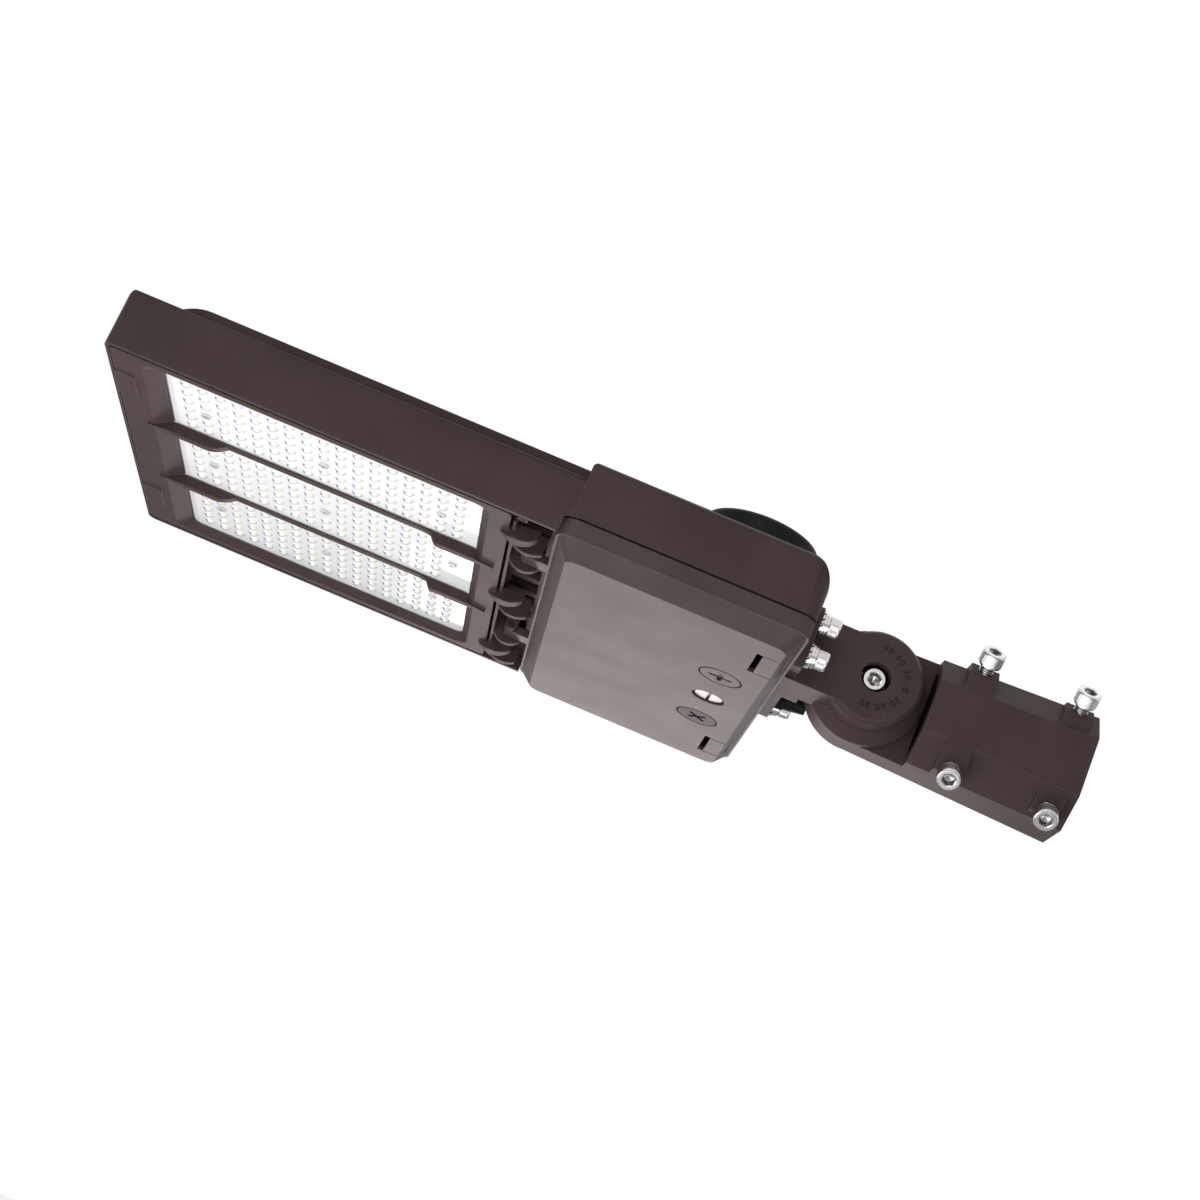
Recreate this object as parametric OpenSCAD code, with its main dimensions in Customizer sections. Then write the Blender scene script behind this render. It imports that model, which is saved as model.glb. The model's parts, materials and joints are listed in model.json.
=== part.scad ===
// Shoebox area light on an adjustable slip fitter.
// Origin: centre of the slip fitter's mouth. +X points out of the mouth, towards
// the pole's tenon, the head lies towards -X, the light shines towards -Z.
// The head is drawn in its own frame: X = 0 is its rear mounting face, Z = 0 is the
// lower rim of its side walls.

/* [Head] */
// Width of the head
head_w = 330; // [326:2:350]
// Length of the lit half, from the tip to the lens frame's inner end
optic_l = 261.5; // [256:0.5:275]
// Length of the airflow gap between the lens frame and the driver door
gap_l = 28.5; // [27:0.5:34]
// Length of the driver compartment
comp_l = 162; // [156:1:180]
// Height of the side walls along the lit half
side_h = 38; // [34:1:46]
// Thickness of the cast walls
wall = 3; // [2.5:0.1:4]
// Upright corner radius at the tip
tip_r = 6; // [4:0.5:10]
// Radius of the side walls' top edge
brow_r = 3; // [2:0.25:5]

/* [Heat sink] */
// Height of the deck that carries the boards above the rim
deck_z = 12; // [12:0.5:14]
// Thickness of the deck
deck_t = 5; // [4:0.5:7]
// Height of the fins' crest above the rim
fin_top = 45; // [40:0.5:50]
// Number of fins across the head
fin_n = 25; // [11:2:27]
// Thickness of one fin
fin_t = 2.4; // [1.8:0.1:3.2]
// Distance from the tip to the foot of the fins' arc
fin_start = 20; // [12:1:45]
// Distance from the head's side to the outermost fin
fin_inset = 7; // [5:0.5:12]

/* [Lens frame] */
// Gap between the side walls and the lens frame
frame_gap = 3; // [2:0.25:4]
// Thickness of the lens frame's ledge
ledge_t = 5.2; // [4.5:0.1:6]
// Distance from the tip to the start of the sloped recess
recess_tip = 22.5; // [20:0.5:26]
// Distance from the frame's inner end to the sloped recess
recess_end = 13.5; // [12:0.5:18]
// Length of the recess slope at the tip
slope_tip = 12; // [8:0.5:14]
// Length of the recess slope at the door end
slope_end = 5.6; // [4:0.2:8]
// Width of the recess slope along the sides
slope_side = 5.9; // [4:0.1:7]
// Corner radius of the recess
recess_r = 10; // [6:0.5:14]
// Width of the frame's face beside the outer windows
frame_side = 12.5; // [11:0.5:15]
// Width of a cross bar between two windows
bar_w = 7; // [6:0.5:8]
// Height of a bar's ends below the rim
bar_drop = 1.8; // [1:0.1:3]
// Height of a bar's low middle above the rim
bar_mid_z = 4.1; // [3:0.1:5]
// Length of a bar's high end at the tip, from the recess slope's foot
bar_tip_l = 17; // [12:1:24]
// Length of a bar's high end at the door end, from the lens edge
bar_end_l = 24; // [18:1:30]
// Length of a bar's curved step
bar_step = 13; // [8:1:16]
// Width of the catch tabs at the tip
tab_w = 38; // [26:1:44]
// Length of the catch tabs at the tip
tab_l = 14; // [10:0.5:17]
// Distance of the catch tabs' centres from the frame's side
tab_in = 54; // [40:1:68]
// Step height of the catch tabs
tab_h = 0.8; // [0.5:0.1:1.2]

/* [Boards and lenses] */
// Thickness of the seal under each lens plate
lens_seal = 0.8; // [0.5:0.1:1.2]
// Thickness of a lens plate
lens_t = 2.4; // [2:0.1:3]
// How far a lens plate reaches over the ledge
lens_lap = 2.6; // [2:0.1:3]
// Thickness of a light board
board_t = 1.6; // [1.2:0.1:2]
// Light points along one window
led_cols = 17; // [11:2:17]
// Light points across one window
led_rows = 6; // [4:2:6]
// Pitch of the light points along the window
led_px = 11.3; // [10.5:0.1:11.5]
// Distance of the outer light points from the window's edge
led_side = 12.25; // [11:0.25:14]
// Side of one LED
led_s = 3; // [2:0.1:3.5]
// Height of one LED
led_h = 0.7; // [0.5:0.1:1]
// Distance from the tip to the first column of light points
led_first = 47.5; // [44:0.5:48]
// Shift of the outer windows' light points towards the middle
led_shift = 3; // [0:0.5:4]
// Radius of a lens dome
dome_r = 4.2; // [3.6:0.1:4.8]
// Height of a lens dome below the plate
dome_h = 2.4; // [1.6:0.1:3]

/* [Airflow gap] */
// Thickness of the thin ribs in the gap
rib_t = 5; // [4:0.5:6]
// Depth of the thin ribs' arc below the rim
rib_drop = 4.8; // [3:0.2:5]
// Width of the lens frame's hooks
hook_w = 12; // [9:0.5:14]
// Depth of the hooks' arc below the rim
hook_drop = 4.5; // [3:0.2:5]
// Thickness of the cross web along the frame's inner end
web_t = 2; // [1.6:0.1:3]
// Gap between the frame's inner end and the cross web
web_gap = 2; // [1.5:0.1:3]

/* [Driver compartment] */
// Height of the compartment's sides above the rim
comp_h = 50.4; // [48:0.2:54]
// Height of the raised mounting hump above the rim
hump_h = 58; // [57:0.5:64]
// Width of the raised mounting hump
hump_w = 176; // [160:2:200]
// Upright corner radius at the rear
rear_r = 10; // [7:0.5:12]
// Radius of the compartment's rear top edge
crown_r = 21; // [14:1:24]
// Radius of the compartment's side top edges
edge_r = 5; // [3:0.5:8]

/* [Driver door] */
// Depth of the door's face below the rim
door_drop = 10.5; // [8:0.5:12]
// Gap along the door's parting line
door_gap = 0.7; // [0.5:0.1:1]
// Inset of the face at the door's long sides
bevel_side = 12; // [9:0.5:14]
// Inset of the face at the hinge side
bevel_hinge = 11; // [8:0.5:13]
// Inset of the face at the rear
bevel_rear = 9; // [7:0.5:11]
// Corner radius of the door's face
face_r = 8; // [5:0.5:12]
// Width of the small lip above the bevel
lip_w = 1.5; // [1:0.1:2.5]
// Opening angle of the door
door_open = 95; // [60:5:95]
// Width of a hinge arm
arm_w = 14; // [11:0.5:16]
// Radius of a hinge arm's eye
eye_r = 4.5; // [4:0.1:4.8]
// Diameter of the hinge pins
pin_d = 4; // [3:0.5:4.5]
// Distance of the hinge pins in front of the door's edge
pin_reach = 14; // [13:0.5:15]
// Distance of the near hinge arm from the head's side
arm_near_in = 77; // [73:1:79]
// Distance of the far hinge arm from the head's side
arm_far_in = 84; // [79:1:87]

/* [Latches and plugs] */
// Distance of the latches from the head's side
latch_in = 56.5; // [51:0.5:61]
// Width of a latch
latch_w = 37; // [30:1:42]
// Length of a latch tongue
latch_l = 14.5; // [12:0.5:16]
// Width of the finger slot beside a latch tongue
latch_slot = 4; // [3:0.25:5]
// Gap around a latch tongue
latch_gap = 1.2; // [0.8:0.1:1.6]
// Diameter of a latch's pin
latch_pin_d = 3; // [2.5:0.5:4]
// Distance of the plugs and the screw from the rear face
plug_x = 36; // [33:0.5:40]
// Distance of the plugs from the middle
plug_y = 52.5; // [46:0.5:58]
// Diameter of the plugs' caps
plug_d = 28; // [24:0.5:30]
// Diameter of the plugs' shanks
plug_shank_d = 20; // [16:0.5:22]
// Width of the cross slots in the plugs
plug_slot = 3; // [2:0.25:4]
// Diameter of the door screw's head
screw_head_d = 19; // [16:0.5:20]
// Diameter of the door screw's recess
screw_well_d = 22.5; // [21.5:0.5:24]
// Diameter of the door screw's shank
screw_d = 8; // [6:0.5:9]

/* [Photocell cap] */
// Distance of the cap's centre from the rear face
cap_x = 43; // [41.5:0.5:52]
// Diameter of the shorting cap
cap_d = 81; // [78:1:82]
// Height of the cap's top above the rim
cap_top = 112; // [106:1:118]
// Diameter of the receptacle's flange
recept_d = 66; // [62:1:70]
// Height of the receptacle above the hump
recept_h = 15; // [12:0.5:18]
// Turning angle of the cap
cap_turn = 30; // [20:5:40]

/* [Knuckle] */
// Height of the tilt axis above the rim
axis_h = 33.3; // [32.8:0.1:33.8]
// Distance from the head's rear face to the tilt axis
pivot_reach = 57; // [56:0.5:62]
// Thickness of the bracket's flange
flange_t = 9; // [8:0.5:11]
// Distance of the flange bolts from the middle
bolt_y = 64.4; // [60:0.2:68]
// Distance between the upper and the lower flange bolts
bolt_dz = 23; // [22:0.5:24]
// Radius of the flange's corner lugs
lug_r = 9.9; // [9.4:0.1:10]
// Height of the bracket's arm
arm_h = 48; // [44:1:52]
// Depth of the arm's near face in front of the head's middle plane
arm_front = 43.3; // [41:0.1:46]
// Radius of the bracket disc's face
disc_r = 29; // [28:0.5:31]
// Radius of the bracket disc's wall
disc_wall_r = 31.5; // [30:0.5:33]
// Radius of the toothed rings
ring_r = 38.5; // [37.5:0.25:39]
// Inner radius of the toothed rings
ring_in = 24; // [20:0.5:28]
// Number of teeth in a toothed ring
teeth_n = 72; // [48:12:84]
// Height of the teeth
teeth_h = 1.2; // [0.8:0.1:1.6]
// Distance of the toothed joint in front of the head's middle plane
joint_front = 7.3; // [6:0.1:9]
// Diameter of the knuckle bolt
knuckle_d = 10; // [8:0.5:11]
// Diameter of the counterbore for the knuckle bolt's head
cbore_d = 20; // [19:0.5:22]
// Depth of the bolt head's face in its counterbore
cbore_sink = 6; // [3:0.5:7]
// Largest tilt to either side
tilt = 90; // [60:30:90]
// Depth of the engraved angle ticks
tick_t = 0.5; // [0.3:0.1:0.8]

/* [Slip fitter] */
// Distance from the tilt axis to the mouth
fitter_reach = 148; // [140:1:160]
// Diameter of the pole tenon that it takes
tenon_d = 60.3; // [60:0.1:60.6]
// Play between the tenon and the socket, on the diameter
socket_play = 0.9; // [0.6:0.1:1]
// Width of the octagonal body at the mouth, across its flats
body_mouth = 81; // [80:0.5:84]
// Width of the octagonal body at the tilt axis, across its flats
body_back = 72; // [71:0.5:75]
// Width of the octagon's corner flats, measured along one side
corner_c = 20; // [17:0.5:21]
// Distance from the tilt axis to the shoulder
shoulder = 40.3; // [40:0.1:43]
// Distance of the first clamp screws from the mouth
screw_x1 = 16.3; // [15:0.5:20]
// Distance between the two rings of clamp screws
screw_dx = 66.2; // [62:0.2:70]
// Length of a square corner pad round a clamp screw
pad_l = 19; // [18:0.5:22]
// Diameter of the clamp screws
clamp_d = 10; // [8:0.5:10]
// Length of the clamp screws under the head
clamp_l = 24; // [22:0.5:26]

/* [Electrical parts] */
// Distance of the cable gland from the middle
gland_y = 47; // [46:0.5:49]
// Thread diameter of the cable gland
gland_d = 12; // [10:0.5:12]
// Width of the gland's hexagon across its flats
gland_hex = 15; // [14:0.5:15]
// Length of the gland outside the head
gland_l = 21; // [17:0.5:24]
// Width of the LED driver
driver_w = 62; // [50:1:66]
// Length of the LED driver
driver_l = 210; // [160:2:240]
// Height of the LED driver
driver_h = 32; // [25:0.5:34]

/* [Clearances] */
// Running clearance of a turning fit, on the radius
run = 0.05; // [0.03:0.01:0.08]
// Clearance between seated pieces
seat = 0.3; // [0.2:0.05:0.4]

/* [Hidden] */
$fn = 64;
head_l = optic_l + gap_l + comp_l;
head_x = -(fitter_reach + pivot_reach);
head_z = -axis_h;
pivot_x = -fitter_reach;
// lit half, in the head's frame
tip_x = -head_l;
frame_end = -(gap_l + comp_l);
door_x = -comp_l;
frame_tip = tip_x + web_t;
frame_w = head_w - 2 * (wall + frame_gap);
lens_z = ledge_t + lens_seal;
board_z = deck_z - board_t;
skirt_h = board_z - lens_z - lens_t;
win_w = (frame_w - 2 * frame_side - 2 * bar_w) / 3;
window_pitch = win_w + bar_w;
led_py = (win_w - 2 * led_side) / (led_rows - 1);
tab_y = frame_w / 2 - tab_in;
recess_x0 = tip_x + recess_tip;
recess_x1 = frame_end - recess_end;
lens_x0 = recess_x0 + slope_tip;
lens_x1 = recess_x1 - slope_end;
lens_l = lens_x1 - lens_x0 + 2 * lens_lap;
lens_w = win_w + 2 * lens_lap;
recess_w = 2 * window_pitch + win_w;
led_x0 = tip_x + led_first;
screw_mid = (led_cols + 1) / 2;
seal_w = 1.8;
board_lap = 1.5;
// fins
fin_x0 = tip_x + fin_start;
comp_x0 = door_x + 4.5;
fin_x1 = comp_x0;
fin_pitch = (head_w - 2 * fin_inset - fin_t) / (fin_n - 1);
// airflow gap
web_x = frame_end + web_gap;
web_reach = head_w / 2 - wall - frame_gap - 9;
rib_x1 = door_x - 6;
pin_x = door_x - pin_reach;
pin_z = eye_r;
hook_tip = frame_end - 5;
hook_x1 = door_x - 10;
hook_in = 38;
hook_mid = 3;
hook_y = [-head_w / 2 + hook_in, hook_mid, head_w / 2 - hook_in];
thin_off = 20;
thin_y = [hook_y[0] + thin_off - 0.5, hook_mid + thin_off + 7.5, hook_y[2] + thin_off + 0.5];
ear_gap = 1;
arm_ys = [-head_w / 2 + arm_near_in, head_w / 2 - arm_far_in];
latch_y = head_w / 2 - latch_in;
ear_in = arm_w / 2 + ear_gap;
ear_t = rib_t;
// compartment and door
roof_t = wall;
hump_x0 = -98;
part_z = deck_z;
door_top = part_z - door_gap;
floor_z = wall - door_drop;
latch_x1 = -bevel_rear + 3.5;
latch_x0 = latch_x1 - latch_l;
latch_axis_x = latch_x1 - 5;
latch_axis_z = floor_z + 5.5;
nose_gap = 3;
well_deep = 5.5;
screw_head_h = 4.5;
boss_d = plug_shank_d + 8;
boss_h = 9;
boss_top = floor_z + boss_h;
plug_cap_h = 2;
// door screw's boss in the compartment
post_z = boss_top + 14;
post_h = 8;
// joint of the two castings
joint_in = 43;
joint_out = head_w / 2 - 34;
joint_up = 4;
joint_boss_d = 10;
joint_boss_l = 15;
joint_screw_l = 12;
// small screws
joint_screw_d = 4;
lens_screw_d = 3;
ear_screw_d = 3;
driver_screw_d = 4;
recept_screw_d = 3.4;
// ears and seal of the lens frame
ear_l = 11;
ear_z = 3;
frame_seal = 1;
// driver
driver_x = comp_x0 + wall + 5 + driver_w / 2;
driver_top = comp_h - wall - 3.4;
driver_ear = 14;
gland_z = axis_h - 10.1;
// surge protector and terminal block, placed from the compartment's walls
surge_w = 42;
surge_l = 46;
surge_h = 27;
surge_in = 24;
surge_x = -surge_w - 26;
block_w = 24;
block_pitch = 10;
block_n = 4;
block_h = 20;
block_in = 22;
block_x = block_w + 36;
// photocell
base_z = hump_h + 1.2;
cap_bottom = base_z + 3;
cap_r = cap_d / 2;
blade_r = 20;
// knuckle, in the head's frame
flange_h = bolt_dz + 2 * lug_r;
flange_w = 2 * (bolt_y + lug_r);
flange_gasket = 1.5;
arm_y1 = 0;
tooth_half = teeth_h + seat / 2;
bracket_face = -joint_front - tooth_half;
fitter_face = -joint_front + tooth_half;
// M8 flange bolt stack
m8_d = 8;
m8_head_d = 13;
m8_head_h = 8;
lock_t = 1.8;
flat_t = 1.6;
spring_t = 2.2;
lock_d = 17;
flat_d = 16;
spring_d = 14.4;
// M10 knuckle bolt stack
k_head_d = 16;
k_head_h = 10;
k_flat_t = 2;
k_spring_t = 2.6;
k_seat = -arm_front + cbore_sink + k_head_h + k_spring_t + k_flat_t;
k_nut_h = 8;
k_nut_af = 17;
nut_well = 10;
// slip fitter
socket_r = (tenon_d + socket_play) / 2;
oct_mouth = body_mouth / 2;
oct_back = body_back / 2;
shoulder_x = pivot_x + shoulder;
tongue_r = oct_back + 0.15;
tongue_y0 = fitter_face + 0.4;
tongue_y1 = oct_back - corner_c;
pad_r = oct_mouth - 2.4;
clamp_head_d = 16;
clamp_head_h = 10;
clamp_tip = socket_r + 0.4;
clamp_under = clamp_tip + clamp_l;
spot_z = socket_r + 18.9;

// ---- helpers ----
module at_head() {
    translate([head_x, 0, head_z])
        children();
}

// profile in X-Z, run along Y
module along_y(len) {
    rotate([90, 0, 0])
        linear_extrude(len, center = true)
            children();
}

// profile in Y-Z, run along X
module along_x(len) {
    rotate([90, 0, 90])
        linear_extrude(len)
            children();
}

// rounded rectangle with exact arcs, from [x0, y0] to [x1, y1]
module rrect(x0, x1, y0, y1, r) {
    translate([x0 + r, y0])
        square([x1 - x0 - 2 * r, y1 - y0]);
    translate([x0, y0 + r])
        square([x1 - x0, y1 - y0 - 2 * r]);
    for (x = [x0 + r, x1 - r])
        for (y = [y0 + r, y1 - r])
            translate([x, y])
                circle(r);
}

// washer lying in X-Y
module washer(d_out, d_in, t) {
    difference() {
        cylinder(d = d_out, h = t);
        translate([0, 0, -1])
            cylinder(d = d_in, h = t + 2);
    }
}

// split spring washer: a ring with a slanting cut
module spring_ring(d_out, d_in, t) {
    difference() {
        washer(d_out, d_in, t);
        translate([d_out / 2 - 2, 0, t / 2])
            rotate([50, 0, 0])
                cube([d_out / 2, 0.8, 4 * t], center = true);
    }
}

// socket head cap screw along -Z, its head's underside at Z = 0
module cap_screw(d, l, head_d, head_h, key) {
    difference() {
        union() {
            cylinder(d = head_d, h = head_h);
            translate([0, 0, -l])
                cylinder(d = d, h = l + 1);
        }
        translate([0, 0, head_h / 2])
            cylinder(d = key / cos(30), h = head_h, $fn = 6);
    }
}

// flat or pan head screw along +Z, its head's underside at Z = 0
module pan_screw(d, l, head_d, head_h) {
    translate([0, 0, -head_h / 4])
        cylinder(d = d, h = l + head_h / 4);
    difference() {
        translate([0, 0, -head_h])
            cylinder(d = head_d, h = head_h);
        for (a = [0, 90])
            rotate(a)
                translate([0, 0, -head_h])
                    cube([head_d * 0.6, head_d * 0.14, head_h], center = true);
    }
}

// ring of radial teeth that stand up along +Z from Z = 0, with a base below
module tooth_ring(r_in, r_out, n, h, base) {
    steps = 2 * n;
    pts = [for (i = [0:steps - 1])
        let (a = i * 360 / steps, z = (i % 2 == 0) ? h : 0)
        for (p = [[r_in, -base], [r_out, -base], [r_out, z], [r_in, z]])
            [p[0] * cos(a), p[0] * sin(a), p[1]]];
    faces = [for (i = [0:steps - 1])
        let (j = (i + 1) % steps)
        for (k = [0:3])
            let (m = (k + 1) % 4)
            for (f = [[4 * i + k, 4 * j + k, 4 * j + m], [4 * i + k, 4 * j + m, 4 * i + m]])
                [f[2], f[1], f[0]]];
    polyhedron(pts, faces, convexity = 10);
}

// ---- slip fitter ----
// octagonal outline with square sides and narrower corner flats
module octagon(half) {
    k = half - corner_c;
    polygon([[half, k], [k, half], [-k, half], [-half, k],
        [-half, -k], [-k, -half], [k, -half], [half, -k]]);
}

// tapered body from the mouth to the tilt axis, its near half cut back to the toothed joint
module fitter_tube() {
    difference() {
        hull() {
            translate([-0.01, 0, 0])
                along_x(0.01)
                    octagon(oct_mouth);
            translate([pivot_x, 0, 0])
                along_x(0.01)
                    octagon(oct_back);
        }
        translate([pivot_x - 1, -2 * oct_mouth + tongue_y0, -2 * oct_mouth])
            cube([shoulder + 1, 2 * oct_mouth, 4 * oct_mouth]);
    }
}

// square pads on the near corners, which carry the clamp screws
module fitter_pads() {
    for (x = [-screw_x1, -screw_x1 - screw_dx])
        for (a = [90, 180])
            rotate([a, 0, 0])
                translate([x - pad_l / 2, socket_r / 2, socket_r / 2])
                    cube([pad_l, pad_r - socket_r / 2, pad_r - socket_r / 2]);
}

// round ended tongue behind the toothed joint
module fitter_tongue() {
    translate([pivot_x, 0, 0])
        rotate([-90, 0, 0])
            rotate_extrude()
                polygon([[0, tongue_y0], [tongue_r, tongue_y0], [tongue_r, tongue_y1],
                    [tongue_r - corner_c + 1, oct_back - 1], [0, oct_back - 1]]);
}

module slip_fitter() {
    color([0.25, 0.21, 0.2])
    difference() {
        union() {
            fitter_tube();
            fitter_pads();
            fitter_tongue();
            translate([pivot_x, fitter_face, 0])
                rotate([90, 0, 0])
                    tooth_ring(ring_in, oct_back - 0.4, teeth_n, teeth_h, 1.5);
        }
        // socket for the tenon
        translate([shoulder_x, 0, 0])
            rotate([0, 90, 0])
                cylinder(r = socket_r, h = shoulder + fitter_reach);
        // bore and hexagonal well of the knuckle bolt
        translate([pivot_x, -joint_front - 5, 0])
            rotate([-90, 0, 0])
                cylinder(d = knuckle_d + 2 * run, h = 2 * oct_back);
        translate([pivot_x, oct_back - nut_well, 0])
            rotate([-90, 0, 0])
                cylinder(d = (k_nut_af + 0.6) / cos(30), h = nut_well + 1, $fn = 6);
        // holes and spot faces of the clamp screws
        for (x = [-screw_x1, -screw_x1 - screw_dx])
            for (a = [45, 135])
                rotate([a, 0, 0])
                    translate([x, 0, 0]) {
                        translate([0, 0, socket_r / 2])
                            cylinder(d = clamp_d + 2 * run, h = 2 * oct_mouth);
                        translate([0, 0, spot_z])
                            cylinder(d = clamp_head_d + 8, h = oct_mouth);
                    }
    }
}

module clamp_screws() {
    color("silver")
    for (x = [-screw_x1, -screw_x1 - screw_dx])
        for (a = [45, 135])
            rotate([a, 0, 0])
                translate([x, 0, clamp_under])
                    cap_screw(clamp_d, clamp_l, clamp_head_d, clamp_head_h, 8);
}

// ---- knuckle bolt ----
// places the axis of the knuckle, +Z along +Y
module at_knuckle(y) {
    translate([pivot_x, y, 0])
        rotate([-90, 0, 0])
            children();
}

module knuckle_bolt() {
    color("silver")
    at_knuckle(k_seat - k_flat_t - k_spring_t)
        mirror([0, 0, 1])
            cap_screw(knuckle_d, oct_back - k_seat + k_flat_t + k_spring_t - 1,
                k_head_d, k_head_h, 8);
}

module knuckle_spring_washer() {
    color("silver")
    at_knuckle(k_seat - k_flat_t - k_spring_t)
        spring_ring(18, knuckle_d + 2 * run, k_spring_t);
}

module knuckle_washer() {
    color("silver")
    at_knuckle(k_seat - k_flat_t)
        washer(cbore_d - 1, knuckle_d + 2 * run, k_flat_t);
}

module knuckle_nut() {
    color("silver")
    at_knuckle(oct_back - nut_well)
        difference() {
            cylinder(d = k_nut_af / cos(30), h = k_nut_h, $fn = 6);
            translate([0, 0, -1])
                cylinder(d = knuckle_d + 2 * run, h = k_nut_h + 2);
        }
}

// ---- knuckle bracket ----
// flange outline in Y-Z with a round lug at each bolt
module flange_outline() {
    rrect(-flange_w / 2, flange_w / 2, axis_h - flange_h / 2, axis_h + flange_h / 2, lug_r);
}

module flange_holes(d) {
    for (y = [-bolt_y, bolt_y])
        for (z = [-bolt_dz / 2, bolt_dz / 2])
            translate([y, axis_h + z])
                circle(d = d);
}

module knuckle_bracket() {
    color([0.26, 0.22, 0.21])
    at_head()
    difference() {
        union() {
            translate([flange_gasket, 0, 0])
                along_x(flange_t - flange_gasket)
                    flange_outline();
            // arm from the flange to the disc
            translate([flange_gasket, -arm_front, axis_h - arm_h / 2])
                cube([pivot_reach - flange_gasket, arm_front + bracket_face - 1.2, arm_h]);
            translate([flange_gasket, -arm_front, axis_h - arm_h / 2])
                cube([flange_t + 8, arm_front + arm_y1, arm_h]);
            // disc with its bevel, wall and flared foot
            translate([pivot_reach, 0, axis_h])
                rotate([-90, 0, 0])
                    rotate_extrude()
                        polygon([[0, -arm_front], [disc_r, -arm_front],
                            [disc_wall_r, -arm_front + 4.5], [disc_wall_r, -20],
                            [ring_r, -14], [ring_r, bracket_face - 1], [0, bracket_face - 1]]);
            translate([pivot_reach, bracket_face, axis_h])
                rotate([-90, 0, 0])
                    tooth_ring(ring_in, ring_r - 0.4, teeth_n, teeth_h, 1.5);
        }
        // counterbore and bore of the knuckle bolt
        translate([pivot_reach, -arm_front - 1, axis_h])
            rotate([-90, 0, 0])
                cylinder(d = cbore_d, h = k_seat + arm_front + 1);
        translate([pivot_reach, -arm_front - 1, axis_h])
            rotate([-90, 0, 0])
                cylinder(d = knuckle_d + 2 * run, h = 2 * arm_front);
        // flange bolts and gland
        translate([-1, 0, 0])
            along_x(flange_t + 2)
                flange_holes(m8_d + 1);
        translate([-1, gland_y, gland_z])
            rotate([0, 90, 0])
                cylinder(d = gland_d + 2 * run, h = flange_t + 2);
        // engraved ticks, every 30 degrees
        for (a = [-90:30:90])
            translate([pivot_reach, -arm_front, axis_h])
                rotate([0, a, 0])
                    translate([disc_r - 5, -tick_t, -0.4])
                        cube([3.5, 2 * tick_t, 0.8]);
    }
}

module bracket_gasket() {
    color([0.1, 0.1, 0.1])
    at_head()
        along_x(flange_gasket)
            difference() {
                flange_outline();
                flange_holes(m8_d + 1);
                translate([gland_y, gland_z])
                    circle(d = gland_d + 1);
            }
}

module at_bolts(x) {
    for (y = [-bolt_y, bolt_y])
        for (z = [-bolt_dz / 2, bolt_dz / 2])
            translate([x, y, axis_h + z])
                rotate([0, 90, 0])
                    children();
}

module bracket_bolts() {
    color("silver")
    at_head()
        at_bolts(flange_t + lock_t + flat_t + spring_t)
            cap_screw(m8_d, 26, m8_head_d, m8_head_h, 6);
}

module bracket_spring_washers() {
    color("silver")
    at_head()
        at_bolts(flange_t + lock_t + flat_t)
            spring_ring(spring_d, m8_d + 2 * run, spring_t);
}

module bracket_flat_washers() {
    color("silver")
    at_head()
        at_bolts(flange_t + lock_t)
            washer(flat_d, m8_d + 2 * run, flat_t);
}

// toothed lock washer with slanting teeth round its rim
module bracket_lock_washers() {
    color("silver")
    at_head()
        at_bolts(flange_t)
            difference() {
                washer(lock_d, m8_d + 2 * run, lock_t);
                for (a = [0:30:330])
                    rotate(a)
                        translate([lock_d / 2, 0, lock_t / 2])
                            rotate([35, 0, 0])
                                cube([4, 1, 3 * lock_t], center = true);
            }
}

module cable_gland() {
    color([0.08, 0.08, 0.08])
    at_head()
        translate([0, gland_y, gland_z])
            rotate([0, 90, 0])
                difference() {
                    union() {
                        translate([0, 0, -wall - 4])
                            cylinder(d = gland_d, h = wall + 5 + flange_t);
                        translate([0, 0, flange_t])
                            cylinder(d = gland_hex / cos(30), h = 6, $fn = 6);
                        translate([0, 0, flange_t + 6])
                            cylinder(d1 = gland_hex, d2 = gland_hex - 4, h = gland_l - 6);
                    }
                    translate([0, 0, -wall - 5])
                        cylinder(d = 7, h = wall + gland_l + flange_t + 10);
                }
}

// ---- heat sink ----
// outer form of the lit half: plan with round tip corners, section with round brow
module optic_block() {
    intersection() {
        linear_extrude(side_h)
            rrect(tip_x, door_x + 30, -head_w / 2, head_w / 2, tip_r);
        translate([tip_x - 1, 0, 0])
            along_x(head_l)
                rrect(-head_w / 2, head_w / 2, -20, side_h, brow_r);
        translate([tip_x - 1, -head_w, 0])
            cube([comp_x0 - tip_x + 1, 2 * head_w, side_h + 1]);
    }
}

// side view of the compartment, full height h, with its large rear crown
module comp_side(h, grow) {
    translate([comp_x0 + grow, part_z - 30])
        square([-comp_x0 - grow - crown_r, h - grow - part_z + 30]);
    translate([-crown_r - 1, part_z - 30])
        square([crown_r + 1 - grow, h - crown_r - part_z + 30]);
    translate([-crown_r, h - crown_r])
        circle(crown_r - grow);
}

// compartment outline, shrunk by grow, with round corners at the rear only
module comp_plan(grow) {
    rrect(comp_x0 + grow, -grow, -head_w / 2 + grow, head_w / 2 - grow, rear_r - grow);
    translate([comp_x0 + grow, -head_w / 2 + grow])
        square([rear_r, head_w - 2 * grow]);
}

// compartment body, shrunk by grow for its inside
module comp_block(grow) {
    intersection() {
        translate([0, 0, part_z])
            linear_extrude(comp_h)
                comp_plan(grow);
        along_y(head_w)
            comp_side(comp_h, grow);
        translate([door_x, 0, 0])
            along_x(comp_l)
                rrect(-head_w / 2 + grow, head_w / 2 - grow, -20, comp_h - grow, edge_r - grow);
    }
}

// raised hump that carries the bracket and the photocell
module hump_block(grow) {
    translate([hump_x0 + grow, 0, 0])
        intersection() {
            along_x(-hump_x0 - 2 * grow)
                rrect(-hump_w / 2 + grow, hump_w / 2 - grow, part_z + 1, hump_h - grow, 5 - grow);
            translate([-1, -head_w / 2, part_z + grow])
                cube([-hump_x0 + 2, head_w, hump_h]);
        }
}

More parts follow.
